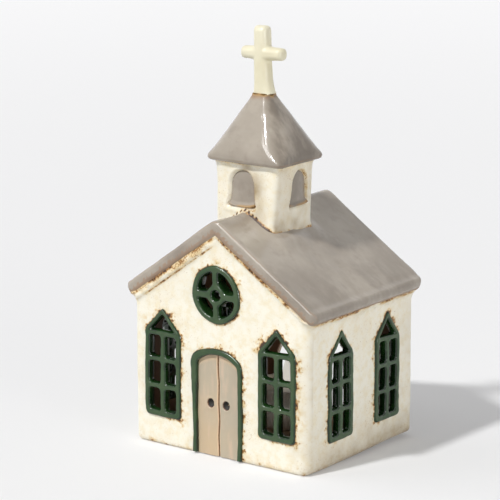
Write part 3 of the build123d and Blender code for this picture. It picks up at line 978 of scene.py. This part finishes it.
def joint_burn(bare, up, below, roll, left_verge):
    """The most burnt of the roof joint, the rolled verge, the line below it, and the foot."""
    stained = uneven(bare, 0.55, (0.5, 2.4, 40), (0.35, 7.0, 41))
    at_joint = 0.8 * fade(below, 1.1) * stained
    on_roll = roll * uneven(bare, 0.34, (0.22, 3.2, 43), (0.24, 8.0, 44))
    under_roll = 0.8 * left_verge * hump(below, 3.4, 0.6) * stained
    at_foot = 0.28 * fade(up, 6.0) * uneven(bare, 0.7, (0.5, 6.0, 42))
    foot_specks = 0.6 * fade(up, 3.5) * np.clip(uneven(bare, 0.3, (0.9, 1.7, 47)), 0, 1)
    return np.max([at_joint, on_roll, under_roll, at_foot, foot_specks], axis=0)


def wall_stain(plane, bare, across, up, below):
    """Tan, mostly painted shade: on the right wall darker at the foot, under the eave and towards the
    rear; a line along every foot; and on the front wall, darker towards its right end lower down.
    """
    to_right = ease(42, body_half_width, bare[..., 0])
    to_rear = ease(14, 40, bare[..., 1])
    stain = to_right * np.max([fade(up, 9.0), 0.3 * fade(below, 4.0), 0.2 * to_rear], axis=0)
    stain = np.maximum(stain, 0.25 * fade(up, 2.5))
    if plane == "front":
        stain = np.maximum(stain, 0.2 * ease(34, 46, across) * ease(72, 50, up))
    return stain * uneven(bare, 0.85, (0.5, 6.0, 45))


print("crust 1 mm from an edge:", float(crust(np.array(1.0), 1.0, np.array([3.0, 4.0, 0.0]), 36).round(2)))

# %% Wall maker
door_recess = 2.0
least_wall = 0.4
right_burn = 0.75


def build_wall(plane, turned, openings, recess=None, doorway=None):
    """A wall slab with its openings cut out, its crust and its swelling under the roof."""
    straight = (body_half_width if turned else body_half_depth) - wall_corner
    across, up = wall_grid(straight, turned)
    bend = wall_bend(straight, across)
    top = under_roof(wall_sheets(plane, straight, across, up, 0 * up)[0][..., 0])
    squeeze = (top + roof_tuck - eave_row) / (gable_height + roof_tuck - eave_row)
    up = np.where(up > eave_row, eave_row + (up - eave_row) * squeeze, up)
    keep = np.ones((across.shape[0] - 1, across.shape[1] - 1), bool)
    burn = 0 * up
    for opening, inset, *burnt in openings:
        distance = opening(across, up)
        keep &= middles(distance) > -inset
        burnt_side = -1 if plane == "right" else 1
        burn = np.maximum(burn, opening_burn(across, up, distance, burnt_side, *burnt))
    if plane == "right":
        burn = right_burn * burn
    edge_fall = 0.0
    if doorway:
        keep &= middles(doorway(across, up)) > 0
        across, up = on_outline(across, up, keep, doorway, 2 * wall_step)
        edge_fall = rounded(doorway(across, up), 1.6)
        burn = crust(doorway(across, up) + 0.4, 0.6, flat(across, up), 46)
    bare = wall_sheets(plane, straight, across, up, 0 * up)[0]
    below = np.maximum(top - up, 0)
    sideways = bend / (math.pi / 2) if turned else np.ones_like(up)
    left_verge = ease(4, -8, across) * (1 - sideways) if plane == "front" else 0 * up
    roll = left_verge / (1 + (below / 3.2) ** 6)
    bead = uneven(bare, 1.0, (0.4, 4.0, 31), (0.3, 1.7, 32))
    swell = (0.9 + 2.0 * sideways) * fade(below, 0.8 + 1.8 * sideways) * bead
    swell = np.minimum(np.maximum(swell, 1.5 * roll * bead), 1.65 + 2.0 * sideways)
    hand = uneven(bare, 0, (0.32, 24.0, 33), (0.16, 9.0, 34), (0.05, 3.0, 35))
    burn = burn * uneven(bare, 0.9, (0.35, 6.0, 38))
    rough = 0.3 * burn * uneven(bare, 0.6, (1.0, 0.9, 39))
    foot = rounded(up, foot_round + foot_rounder * sideways)
    out = hand + swell + rough - foot - edge_fall
    if recess:
        pressed = out - door_recess * ease(0.2, 1.2, -recess(across, up))
        out = np.maximum(pressed, least_wall - wall_thickness)
    burn = np.maximum(burn, joint_burn(bare, up, below, roll, left_verge))
    stain = wall_stain(plane, bare, across, up, below)
    outer, inner = wall_sheets(plane, straight, across, up, out)
    make_piece(plane + "_wall_clay", slab(outer, inner, keep), "cream_glaze", plane + "_wall",
               burn=(burn, 0), stain=(stain, 0), inside=(0, 1))


print("behind the door", round(wall_thickness - door_recess, 1), "mm of wall are left")

# %% The four walls
rear_door_half = 28.5
rear_door_crown = 48.0
rear_door_foot = 5.0


def rear_doorway(across, up):
    """A round arch from the floor up."""
    spring = rear_door_crown - rear_door_half
    away = np.hypot(across, np.maximum(up - spring, 0)) - rear_door_half
    return np.maximum(away, rear_door_foot - up)


def openings_in(side):
    """For each window of a wall: its field, how far the wall runs in under it, its middle, its half
    width and the height of its head."""
    return [(in_window(name, lancet), 1.2, place[1], place[2], window_shoulder)
            for name, place in window_places.items() if place[0] == side]


rose_opening = (rose_outline, 1.4, rose_middle[0], rose_radius, 84.0)
door_never_cut = 60.0
door_opening = (lambda a, u: door_arch(a, u, 0.0), door_never_cut, door_middle, door_half, 42.0)
build_wall("front", True, [*openings_in("front"), rose_opening, door_opening],
           recess=lambda a, u: door_arch(a, u, 0.6))
build_wall("right", False, openings_in("right"))
build_wall("left", False, openings_in("left"))
build_wall("rear", True, [], doorway=rear_doorway)

# %% [markdown]
# ## Roof
# One slab was folded over the gables. It is a middle surface, bent at the ridge, with half the
# thickness on each side; towards the eaves the half thickness closes in a half circle and towards
# the verges in a blunter curve. The verge bows forward at the ridge, as the photograph shows, and
# the clay is smoothed up against the belfry. A bent, bevelled box would keep straight edges.

# %% Folded slab
roof_half_thickness = 3.3
fold_height = 106.71
fold_soft = 0.6
slope_length = 63.9
roof_angle = math.atan(roof_pitch)


def slope_stations():
    """Distances from the fold down both slopes, close together at the fold and at the eaves."""
    near = np.array([0.0, 0.12, 0.25, 0.4, 0.6, 0.85, 1.15, 1.5, 2.0, 2.6, 3.3, 4.2])
    nose = slope_length - roof_half_thickness * (1 - np.sin(np.linspace(0, 1, 13) * math.pi / 2))
    half = np.concatenate([near, np.arange(5.2, slope_length - roof_half_thickness - 0.5, 0.9), nose])
    return np.concatenate([-half[:0:-1], half])


def verge_stations():
    """Shares of the half depth, from -1 to 1, close together at both verges."""
    near = np.array([0, 0.03, 0.08, 0.16, 0.28, 0.45, 0.7, 1.0, 1.4, 1.9, 2.5, 3.2]) / 43.0
    middle = np.linspace(-1 + 4.0 / 43, 1 - 4.0 / 43, 88)
    return np.concatenate([-1 + near, middle, 1 - near[::-1]])


def closing(distance, radius, power):
    """From 0 at the edge to 1 at the radius along a curve that is blunter for a higher power."""
    share = 1 - np.clip(distance / radius, 0, 1)
    return (1 - share**power) ** (1 / power)


def pulled_in(to_end, length, most):
    """How far a corner is drawn in: a quarter of an oval over the last length before the end."""
    share = np.clip((length - to_end) / length, 0, 1)
    return most * (1 - np.sqrt(1 - share**2))


belfry_middle = (0.0, -6.5)
belfry_half_x = 18.2
belfry_half_y = 13.8
belfry_corner = 3.2
collar_rise = 0.8
collar_right = 1.5
collar_width = 4.0


def collar(x, y):
    """Rise of the clay smoothed up against the belfry, most on its right side."""
    half = (belfry_half_x - 1, belfry_half_y + 0.5)
    away = np.maximum(oblong(x, y, belfry_middle, half, belfry_corner), 0)
    most = collar_rise + collar_right * ease(2, 16, x) * ease(4, -10, y)
    return most * hump(away, 0, collar_width)


print("roof grid:", len(slope_stations()), "by", len(verge_stations()))

# %% Roof
verge_front = 42.3
verge_rear = 43.1
verge_bow = 1.0
bow_width = 26.0
verge_round = 2.4
verge_blunt = 3.0
front_corner = (6, 2.6)
rear_corner = (9, 4.4)
verge_wave = 0.15
wave_room = 0.2
left_eave_in = 0.4

along, share = np.meshgrid(slope_stations(), verge_stations(), indexing="ij")
to_eave = slope_length - np.abs(along)
front_reach = verge_front + verge_bow * hump(along, 0, bow_width) - pulled_in(to_eave, *front_corner)
rear_reach = verge_rear - pulled_in(to_eave, *rear_corner)
reach = np.where(share < 0, front_reach, rear_reach)
to_verge = (1 - np.abs(share)) * reach
wave = verge_wave * lumps(flat(along, 0 * along), 9.0, 51) * np.sign(share) * np.abs(share) ** 6
roof_y = share * (reach - wave_room) + wave
roof_x = along * math.cos(roof_angle)
roof_x = roof_x + left_eave_in * ease(-40, -54, roof_x)
bent = np.sqrt(along**2 + fold_soft**2)
roof_z = fold_height - math.sin(roof_angle) * bent
tilt = math.tan(roof_angle) * along / bent
normal = np.stack([tilt, 0 * tilt, 1 + 0 * tilt], axis=-1) / np.sqrt(1 + tilt**2)[..., None]
fold = np.stack([roof_x, roof_y, roof_z], axis=-1)

half_thick = (roof_half_thickness * closing(to_eave, roof_half_thickness, 2.0)
              * closing(to_verge, verge_round, verge_blunt))
off_verge = closing(to_verge, 5.0, 2.0)
hand = uneven(fold, 0, (0.42, 22.0, 52), (0.16, 7.0, 53)) * closing(to_eave, 6.0, 2.0) * off_verge
rim = 0.45 * hump(to_eave, 2.2, 1.3) - 0.3 * hump(to_eave, 5.5, 1.6)
hand = hand + rim * uneven(fold, 1, (0.5, 6.0, 54)) * off_verge
hand = hand + normal[..., 2] * collar(roof_x, roof_y)
upper = fold + normal * (half_thick + hand)[..., None]
lower = fold - normal * half_thick[..., None]
crease = np.minimum(np.abs(to_verge - 0.7) * 2.2, np.abs(to_eave - 1.2) * 1.2 + 0.4)
# The right slope is darker towards its eave as painted shade
make_piece("roof_clay", slab(upper, lower), "taupe_glaze", "roof_slab", sharp=70,
           edge=(np.clip(crease + 0.25, 0, 9), np.clip(np.minimum(to_eave, to_verge), 0, 9)),
           burn=(0, 0.2 * ease(0.8, 2.0, to_verge)), deep=(0.3 * ease(16, 50, roof_x), 0))

# %% [markdown]
# ## Belfry
# A tube of four slabs stands across the ridge, its foot cut to the roof and drawn in on the right.
# Its section is a rounded oblong carried upwards, with a niche pressed into each side for a bell.
# The ring is described by shares of the oblong's straight sides plus a turning normal, so one array
# serves every height. Extruding a drawn oblong would not follow the slope of the roof.


# %% Rings
def oblong_ring(corner_points, side_points):
    """Round an oblong once: shares of its two half sides, and the normal that the corner adds."""
    turn = np.linspace(0, math.pi / 2, corner_points)
    step = np.linspace(0, 1, side_points + 2)[1:-1, None]
    signs = np.array([(1, 1), (-1, 1), (-1, -1), (1, -1)])
    shares = []
    normals = []
    for quarter, (sign, following) in enumerate(zip(signs, np.roll(signs, -1, axis=0))):
        angle = turn + quarter * math.pi / 2
        corner = np.column_stack([np.cos(angle), np.sin(angle)])
        shares += [np.tile(sign, (corner_points, 1)), sign + step * (following - sign)]
        normals += [corner, np.tile(corner[-1], (side_points, 1))]
    once_round = slice(1 - corner_points)
    shares = np.concatenate(shares + shares[:1])[once_round]
    normals = np.concatenate(normals + normals[:1])[once_round]
    return shares, normals


def ring_points(ring, half_x, half_y, radius, height, middle):
    """Points of rings: shares times the half sides less the radius, plus the normal times it."""
    shares, normals = ring
    x = shares[:, None, 0] * (half_x - radius) + normals[:, None, 0] * radius + middle[0]
    y = shares[:, None, 1] * (half_y - radius) + normals[:, None, 1] * radius + middle[1]
    return np.stack(np.broadcast_arrays(x, y, height), axis=-1)


def stations(*runs):
    """Places along a line: each run has a first one, a last one and how many are evenly spaced."""
    return np.concatenate([np.linspace(*run) for run in runs])


def outward_of(ring):
    """The normals of a ring as level directions, ready for every height."""
    return np.pad(ring[1], ((0, 0), (0, 1)))[:, None, :]


belfry_ring = oblong_ring(9, 56)
print("the belfry's ring has", len(belfry_ring[0]), "points")

# %% Bell outline
belfry_top = 131.3
belfry_tuck = 1.2
bell_foot = 111.5
bell_crown = 128.0
bell_half = 6.6
bell_flare = 1.2
bell_lip = 1.6


def bell_field(across, up):
    """A bell: a round crown, sides that flare as a parabola, and a straight mouth."""
    crown = bell_crown - bell_half
    down = np.clip((crown - up) / (crown - bell_foot - bell_lip), 0, 1)
    sides = np.hypot(across, np.maximum(up - crown, 0)) - bell_half - bell_flare * down**2
    return soft_max(sides, bell_foot - up, 1.4)


# Each bell has the direction it faces, its shift to the right and how slim it is
bell_places = {
    "bell_front": ((0.0, -1.0), -2.4, 1.0),
    "bell_right": ((1.0, 0.0), 3.0, 0.8),
    "bell_rear": ((0.0, 1.0), 0.0, 1.0),
    "bell_left": ((-1.0, 0.0), 0.0, 0.84),
}
print(len(bell_places), "bells,", round(2 * (bell_half + bell_flare), 1), "mm across their mouths")

# %% Foot and top of the belfry
ridge_height = 109.9
foot_drawn_in = 2.2
foot_out_rear = 2.0
foot_out_front = 1.2
tip_corner = (20.5, -22.6)
tip_across = 0.012
tip_along = 0.028


def belfry_base(points):
    """Height of the belfry's foot: the roof's upper face with its round ridge, less the tuck."""
    slope = fold_height + roof_half_thickness / math.cos(roof_angle) - roof_pitch * np.abs(points[..., 0])
    return np.minimum(slope, ridge_height) + roof_climb * points[..., 1] - belfry_tuck


def drawn_in(points, share):
    """Points of the right side moved by a share: to the middle, and out to the front and rear."""
    x = points[..., 0] - belfry_middle[0]
    y = points[..., 1] - belfry_middle[1]
    moved = share * ease(0, belfry_half_x - 3, x)
    spread = foot_out_rear * ease(0, belfry_half_y, y) - foot_out_front * ease(0, -belfry_half_y, y)
    shift = np.stack([-foot_drawn_in * moved, spread * moved, 0 * moved], axis=-1)
    return points + shift


def tipped(points):
    """Rise of the spire's foot away from its near right corner: a share of y and a share of -x."""
    return tip_along * (points[..., 1] - tip_corner[1]) + tip_across * (tip_corner[0] - points[..., 0])


print("the belfry's foot at the ridge:", float(belfry_base(np.array([0.0, -6.5, 0.0])).round(1)))

# %% Belfry surface
belfry_taper = 0.3 / 21.0
belfry_wall = 3.4
top_bead = 0.7
niche_depth = 1.9
far_from_niche = 20.0
pit_spacing = 2.3
pit_depth = 0.6

outward = outward_of(belfry_ring)
level = stations((0, 0.12, 12), (0.13, 1, 64))[None, :]
foot_line = ring_points(belfry_ring, belfry_half_x, belfry_half_y, belfry_corner, 0.0, belfry_middle)
foot_line = drawn_in(foot_line, 1.0)
foot_height = belfry_base(foot_line)
height = foot_height + (belfry_top + tipped(foot_line) - foot_height) * level
narrow = np.maximum(belfry_taper * (belfry_top - height), 0)
bare = ring_points(belfry_ring, belfry_half_x - narrow, belfry_half_y, belfry_corner, height, belfry_middle)
bare = drawn_in(bare, 1 - level)
niche = np.full(height.shape, far_from_niche)
niche_side = np.zeros(height.shape)
for (nx, ny), shift, slim in bell_places.values():
    facing = (outward @ np.array([nx, ny, 0])) > 0.999
    beside = (bare[..., 0] - belfry_middle[0]) * -ny + (bare[..., 1] - belfry_middle[1]) * nx - shift
    niche = np.where(facing, bell_field(beside / slim, height), niche)
    niche_side = np.where(facing, beside, niche_side)
in_front = ease(0.6, 0.95, -outward[..., 1])
along_x = bare[..., 0]
above_roof = height - foot_height - belfry_tuck - collar(along_x, bare[..., 1])
row_of_pits = in_front * ease(-11, -9, along_x) * ease(9, 7, along_x)
pit_wave = ease(-0.1, 0.6, np.cos(2 * math.pi * along_x / pit_spacing))
pits = row_of_pits * pit_wave * hump(above_roof, 0.9, 0.6)
recess = niche_depth * ease(-0.8, 0.4, -niche) * ease(bell_foot - 0.4, bell_foot + 1.6, height)
rim = 0.3 * hump(niche, 1.4, 0.8) + top_bead * np.exp(height - belfry_top)
bead = (0.7 + 0.5 * row_of_pits) * fade(above_roof, 1.0) * uneven(bare, 1, (0.6, 2.2, 61))
hand = uneven(bare, 0, (0.25, 12.0, 62), (0.12, 5.0, 63))
moved = rim + bead + hand - recess - pit_depth * pits
outer = bare + moved[..., None] * outward
inner = bare - belfry_wall * outward
print("niches are up to", float(recess.max().round(2)), "mm deep")

# %% Belfry glaze
burnt_corner = (17.0, -19.4)
on_right = ease(0.6, 0.95, outward[..., 0])
to_right = ease(-2.0, 5.0, np.where(outward[..., 0] > 0.9, -niche_side, niche_side))
at_mouth = on_right * ease(bell_foot + 4, bell_foot + 2, height)
# Dark outline round a niche: burnt right of the front bell; on the right face all round, partly painted
# shade
niche_weight = (1 - at_mouth) * np.maximum(0.12 + 0.75 * to_right, 0.6 * on_right)
niche_burn = niche_weight * fade(np.abs(niche - 0.4), 0.7) * uneven(bare, 0.7, (0.5, 2.6, 64))
foot_burn = fade(above_roof, 0.7) * uneven(bare, 0.35, (0.4, 2.0, 65))
foot_burn = foot_burn + in_front * ease(0, 5, along_x) * fade(above_roof - 0.4, 0.8)
corner_away = np.hypot(along_x - burnt_corner[0], bare[..., 1] - burnt_corner[1])
corner_spot = hump(corner_away, 0, 2.4) * fade(above_roof, 1.3)
under_spire = 0.4 * fade(belfry_top - height, 1.3) * uneven(bare, 0.8, (0.5, 3.0, 66))
burn = np.max([niche_burn, foot_burn, corner_spot, under_spire, 1.3 * pits], axis=0)
# Painted shade: tan beside the front niche on its right, and over the right face, more towards the foot
shade_beside_niche = in_front * to_right * hump(np.maximum(niche, 0), 0, 5.5)
right_stain = on_right * (0.3 + 0.5 * fade(above_roof, 5.0))
stain = np.maximum(0.85 * shade_beside_niche, right_stain) * uneven(bare, 0.85, (0.5, 5.0, 67))
make_piece("belfry_clay", slab(outer, inner, closed=True), "cream_glaze", "belfry",
           burn=(burn, 0), stain=(stain, 0), inside=(0, 1))

# %% Bells
bell_step = 0.25
bell_back = -2.9
bell_sunk = 1.2
bell_edge = 0.8
bell_pillow = 0.4
lip_rise = 1.6


def build_bell(name, direction, shift, slim):
    """A slab cut to the bell, pillowed, with a lip along its mouth, that follows the belfry's wall."""
    across, up, keep = cut_grid(bell_field, (-9, bell_foot - 1.5), (9, bell_crown + 1.5), bell_step)
    depth = -bell_field(across, up)
    lip = hump(up, bell_foot + 0.7 + 0.012 * across**2, 1.0)
    face = bell_pillow * ease(0, 5, depth) + lip_rise * lip * ease(-0.2, 0.6, depth)
    face = face - bell_sunk - rounded(depth, bell_edge)
    nx, ny = direction
    half = belfry_half_x if nx else belfry_half_y
    origin = np.array([belfry_middle[0] + nx * half, belfry_middle[1] + ny * half, 0])
    niche_frame = (origin, np.array([-ny, nx, 0]), np.array([nx, ny, 0]))
    sideways = across * slim + shift
    points, faces = slab(placed(niche_frame, sideways, up, face),
                         placed(niche_frame, sideways, up, np.full_like(face, bell_back)), keep)
    points = drawn_in(points, (belfry_top - points[..., 2]) / (belfry_top - belfry_base(points)))
    burn = lip * uneven(flat(across, up), 0.5, (0.35, 4.0, 68))
    # A bell that faces right is darker as painted shade
    make_piece(name + "_clay", (points, faces), "taupe_glaze", name,
               edge=(np.clip(depth + 0.5, 0, 5), 0), burn=(burn, 0), deep=(0.35 * max(nx, 0), 0))


for bell, place in bell_places.items():
    build_bell(bell, *place)

# %% [markdown]
# ## Spire
# A pyramid with a thick lip, pinched towards the top by hand. Its outline in height is a short list
# of half widths and corner radii, joined by straight lines, and each height is a ring like those of
# the belfry. Rings of no size close it above and below. A cone with four sides would have the
# slopes, but not the hips that grow round and carry the streak of light.

# %% Spire
lip_height = 132.4
spire_top = 162.0
amber_height = 161.5
# Height, half width in x and in y, and radius of the corners
spire_profile = np.array([
    [131.30, 0.0, 0.0, 0.0],
    [131.20, 15.0, 10.8, 1.0],
    [131.16, 18.9, 14.5, 2.0],
    [131.30, 20.2, 15.8, 2.6],
    [131.80, 20.8, 16.4, 2.8],
    [132.70, 21.1, 16.7, 2.8],
    [133.60, 21.1, 16.7, 3.2],
    [134.30, 21.05, 16.70, 4.2],
    [135.00, 20.9, 16.60, 5.3],
    [136.50, 20.5, 16.25, 7.3],
    [141.00, 18.5, 14.80, 9.4],
    [147.00, 14.9, 12.05, 8.4],
    [153.46, 10.6, 8.80, 6.4],
    [158.00, 7.0, 6.05, 4.2],
    [160.60, 5.1, 4.50, 3.0],
    [161.50, 4.7, 4.20, 2.4],
    [161.86, 4.3, 3.90, 2.0],
    [161.95, 2.0, 1.80, 1.2],
    [161.95, 0.0, 0.0, 0.0],
])
steps = np.arange(len(spire_profile))
fine = stations((0, 9, 46), (9.1, 13, 60), (13.15, 18, 30))
spire_z, spire_x, spire_y, spire_r = (np.interp(fine, steps, column)[None, :] for column in spire_profile.T)
spire_ring = oblong_ring(15, 26)
outward = outward_of(spire_ring)
spire_middle = (0.3 - 0.5 * ease(145, 162, spire_z), belfry_middle[1])
bare = ring_points(spire_ring, spire_x, spire_y, spire_r, spire_z, spire_middle)
bare[..., 2] += tipped(bare) * (1 - ease(136, 152, spire_z))
hand = uneven(bare, 0, (0.32, 11.0, 71), (0.14, 4.5, 72)) * np.clip(spire_x / 6.0, 0, 1)
lip_edge = np.minimum(np.abs(spire_z - lip_height) + 0.4, 0.25 * np.abs(spire_top - spire_z))
below_top = amber_height - spire_z
blotches = lumps(bare, 2.4, 73)
amber = 0.75 * fade(below_top, 0.5) * (0.7 + 0.5 * blotches)
amber = amber + 0.48 * fade(below_top, 2.8) * (0.7 + 0.7 * blotches)
# The spire's right face is darker as painted shade, and the rest a little
make_piece("spire_clay", tube(bare + outward * hand[..., None]), "taupe_glaze", "spire", sharp=80,
           edge=(np.minimum(lip_edge, 4),), burn=(amber,),
           deep=(0.12 + 0.5 * ease(0.3, 0.9, outward[..., 0]),))

# %% [markdown]
# ## Cross
# A thick cross, rolled and pinched: its arms taper to their ends and its post widens to the foot,
# more to the right. It is a slab whose half thickness follows a circle at every edge but the foot,
# which stands in the top of the spire. Two joined boxes would keep a seam.

# %% Cross
cross_foot = 161.4
cross_top = 192.1
cross_arm = 179.6
cross_lean = 0.9
cross_half_thickness = 3.5
arm_half_height = 3.35
arm_half_length = 11.6
arm_taper = 0.05
arm_shift = 0.35
cross_step = 0.22


def cross_field(across, up, foot=cross_foot):
    """A post that widens down to its foot and an arm that narrows outwards, joined softly."""
    lean = cross_lean * (up - cross_foot) / (cross_top - cross_foot)
    a = across + 0.15 * lumps(flat(across, up), 5.0, 81) + lean
    lower = np.clip((182 - up) / 18, 0, 1)
    flare = np.clip((cross_foot + 8 - up) / 8, 0, 1) ** 2
    half = np.where(a > 0, 3.4 + 0.6 * lower + 1.6 * flare, 4.0 + 0.4 * lower + 0.6 * flare)
    post = soft_max(np.abs(a) - half, np.abs(up - (foot + cross_top) / 2) - (cross_top - foot) / 2, 2.2)
    arm_half = arm_half_height - arm_taper * np.abs(a)
    arm = soft_max(np.abs(up - cross_arm) - arm_half, np.abs(across + arm_shift) - arm_half_length, 1.8)
    return soft_min(post, arm, 1.2)


across, up, keep = cut_grid(cross_field, (-13.2, cross_foot - 1), (12.6, cross_top + 1), cross_step)
depth = -cross_field(across, up, cross_foot - 6.0)
hand = 0.12 * lumps(flat(across, up), 4.0, 82) * ease(0, 2, depth)
half_thick = cross_half_thickness * closing(depth, 2.7, 2.2) + hand
cross_front, cross_back = (np.stack([across - 0.2, belfry_middle[1] - out, up], axis=-1)
                           for out in (half_thick, -half_thick))
make_piece("cross_clay", slab(cross_front, cross_back, keep), "ivory_glaze", "cross",
           slot="cream_glaze", sharp=75)

# %% [markdown]
# ## Door
# A green band frames two beige leaves. The band is a rounded profile carried along the arch, wider
# and narrower as the strip of clay was. Each leaf is a slab with a soft edge and a pit pressed in
# for its handle. A bevelled curve could make the band, but its width would not wander.

# %% Path of the band
band_half = 1.2
arch_centre = door_crown - door_arch_radius
arch_line = door_arch_radius - band_half
jamb = door_half - band_half
spring_angle = math.acos(jamb / arch_line)
spring_height = arch_centre + arch_line * math.sin(spring_angle)
jamb_rows = np.linspace(door_foot, spring_height, 90)
arch_angles = np.linspace(spring_angle, math.pi - spring_angle, 90)[1:-1]
path_x = np.concatenate([np.full(90, jamb), arch_line * np.cos(arch_angles), np.full(90, -jamb)])
path_z = np.concatenate([jamb_rows, arch_centre + arch_line * np.sin(arch_angles), jamb_rows[::-1]])
soften = np.ones(9) / 9
for _ in range(2):
    path_x[4:-4] = np.convolve(path_x, soften, "valid")
    path_z[4:-4] = np.convolve(path_z, soften, "valid")
run_x = np.gradient(path_x)
run_z = np.gradient(path_z)
outer_x = run_z / np.hypot(run_x, run_z)
outer_z = -run_x / np.hypot(run_x, run_z)
print("the band's path has", len(path_x), "points and rises to", round(path_z.max(), 1))

# %% Door band
trail = flat(path_x, path_z)
left_share = ease(-4, -12, path_x) * ease(22, 36, path_z)
wider = 0.5 * left_share + 0.2 * ease(38, 46, path_z)
band_width = band_half * (uneven(trail, 1.0, (0.16, 9.0, 91)) + wider)
band_shift = 0.3 * lumps(trail, 11.0, 92) + 0.3 * left_share
turn = np.linspace(2 * math.pi, 0, 33)[:, None]
round_a = np.sign(np.cos(turn)) * np.abs(np.cos(turn)) ** 0.55
round_o = np.sign(np.sin(turn)) * np.abs(np.sin(turn)) ** 0.7
sideways = band_shift + band_width * round_a
band_a = door_middle + path_x + outer_x * sideways
band_u = np.maximum(path_z + outer_z * sideways, 0.25)
band_o = np.where(round_o > 0, 1.35, 2.0) * round_o - 0.15 + 0.12 * lumps(flat(band_a, band_u), 3.0, 93)
points, faces = tube(placed(planes["front"], band_a, band_u, band_o))
path_length = len(path_x)
ends = np.arange(len(turn) - 1) * path_length
half = len(ends) // 2
cap = np.stack([ends[:half - 1], ends[1:half], ends[half:-1][::-1], ends[half + 1:][::-1]], axis=-1)
faces = np.concatenate([faces, cap[:, ::-1], cap + path_length - 1])
make_piece("door_band", (points, faces), "green_glaze", "door_frame", sharp=80,
           edge=(np.clip(1.6 - 1.4 * np.abs(round_a), 0, 2),))

# %% Door leaves
handle_across = 4.4
handle_height = 24.7
handle_radius = 2.0
handle_depth = 1.5
seam_half = 0.22
seam_wobble = 0.32
leaf_sunk = 0.45
leaf_edge = 0.9
leaf_foot = 0.5
leaf_gap = 0.6
leaf_back = -2.3


def build_leaf(name, side):
    """A slab between the seam and the jamb, under the arch, with a pit for the handle."""
    columns = stations((0, 0.12, 5), (0.15, 0.88, 26), (0.9, 1, 5))
    rows = stations((0, 0.03, 5), (0.038, 0.962, 120), (0.97, 1, 5))
    share, rise = np.meshgrid(columns if side > 0 else columns[::-1], rows, indexing="ij")
    seam = seam_half + seam_wobble * lumps(flat(0 * rise, rise * 46), 8.0, 101) * side
    jamb_edge = jamb - leaf_gap
    a = side * (seam + (jamb_edge - seam) * share) + 0.8 * (0.5 - rise) * (1 - share)
    head = arch_centre + np.sqrt((arch_line - leaf_gap) ** 2 - a**2)
    u = leaf_foot + (head - leaf_foot) * rise
    to_seam = (jamb_edge - seam) * share
    to_jamb = jamb_edge - np.abs(a)
    to_edge = np.min([to_seam, to_jamb + leaf_gap, u + 1.5], axis=0)
    away = np.hypot(a - side * handle_across, (u - handle_height) * 0.9)
    pit = handle_depth * np.clip(1 - (away / handle_radius) ** 2, 0, 1) ** 0.7
    rim = 0.2 * hump(away, 2.3, 0.5)
    hand = 0.2 * lumps(flat(a, u * 0.4), 5.0, 102) + 0.08 * lumps(flat(a, u), 2.5, 103)
    out = hand + rim - pit - leaf_sunk - rounded(to_edge, leaf_edge)
    front = placed(planes["front"], door_middle + a, u, out)
    back = placed(planes["front"], door_middle + a, u, np.full_like(out, leaf_back))
    warm = (0.8 - 0.45 * rise if side < 0 else 0.3 - 0.2 * rise) + 0.8 * ease(5.0, 1.0, head - u)
    # Painted shade in the crease where the left leaf meets the band, low down
    jamb_stain = 0.6 * ease(1.3, 0.3, to_jamb) * ease(34, 20, u) * (side < 0)
    # The seam is burnt, and the handle pit is painted near-black as shade
    burn = np.max([0.7 * ease(0.55, 0.15, to_seam), 1.15 * ease(2.15, 1.75, away), jamb_stain], axis=0)
    make_piece(name + "_clay", slab(front, back), "door_glaze", name,
               edge=(np.clip(to_edge, 0, 5), 0), burn=(burn, 0), warm=(warm, warm))


build_leaf("door_leaf_left", -1)
build_leaf("door_leaf_right", 1)

# %% [markdown]
# ## Floor
# The floor slab was left bare, as clay that stands in the kiln must be. It lifts at the rear right
# corner with the walls that are luted to it, so it is made again as a plain slab that settles too.

# %% Floor
floor_height = 5.0
floor_gap = 0.1
floor_x = body_half_width - wall_thickness - floor_gap
floor_y = body_half_depth - wall_thickness - floor_gap
x, y = np.meshgrid(np.linspace(-floor_x, floor_x, 92), np.linspace(-floor_y, floor_y, 76), indexing="ij")
top, under = (np.stack([x, y, np.full_like(x, z)], axis=-1) for z in (floor_height, 0))
make_piece("floor_clay", slab(top, under), "bisque", "floor_slab")

# %% [markdown]
# ## The light inside
# The tealight is a moulded piece whose CAD shape is right as it is, so its solids stay and only
# get finishes.

# %% Finishes of the light
metal = {"Metallic": 1.0}
# Painted light: the unlit plastic flame glows a little, standing in for daylight through it
painted_glow = {"Emission Color": (1.0, 0.96, 0.88, 1.0), "Emission Strength": 0.55}
finishes = {
    "tealight_cup": ("candle_plastic", plain((246, 240, 226), (238, 230, 212), 90.0, 0.32)),
    "tealight_base": ("base_plastic", plain((236, 232, 224), (226, 222, 212), 120.0, 0.4)),
    "tealight_flame": ("flame_plastic", plain((252, 244, 226), (248, 236, 210), 150.0, 0.28, **painted_glow)),
    "tealight_led": ("led_lens", plain((255, 232, 178), (250, 214, 140), 200.0, 0.15)),
    "tealight_coin_cell": ("cell_steel", plain((196, 196, 194), (176, 176, 176), 300.0, 0.28, **metal)),
    "tealight_battery_cover": ("base_plastic_cover", plain((232, 228, 220), (222, 218, 208), 130.0, 0.42)),
    "tealight_switch": ("switch_plastic", plain((52, 52, 54), (40, 40, 42), 240.0, 0.4)),
}
for node, (name, recipe) in finishes.items():
    finish = new_material(name, recipe)
    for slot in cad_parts[node].material_slots:
        slot.material = finish

# %% [markdown]
# ## Sizes
# Dressing the part must not change its size, so the box of what is shown now is printed in mm.

# %% Print the box of what is shown
low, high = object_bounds()
print("visual box in mm:", [round(v / mm, 1) for v in low], [round(v / mm, 1) for v in high])
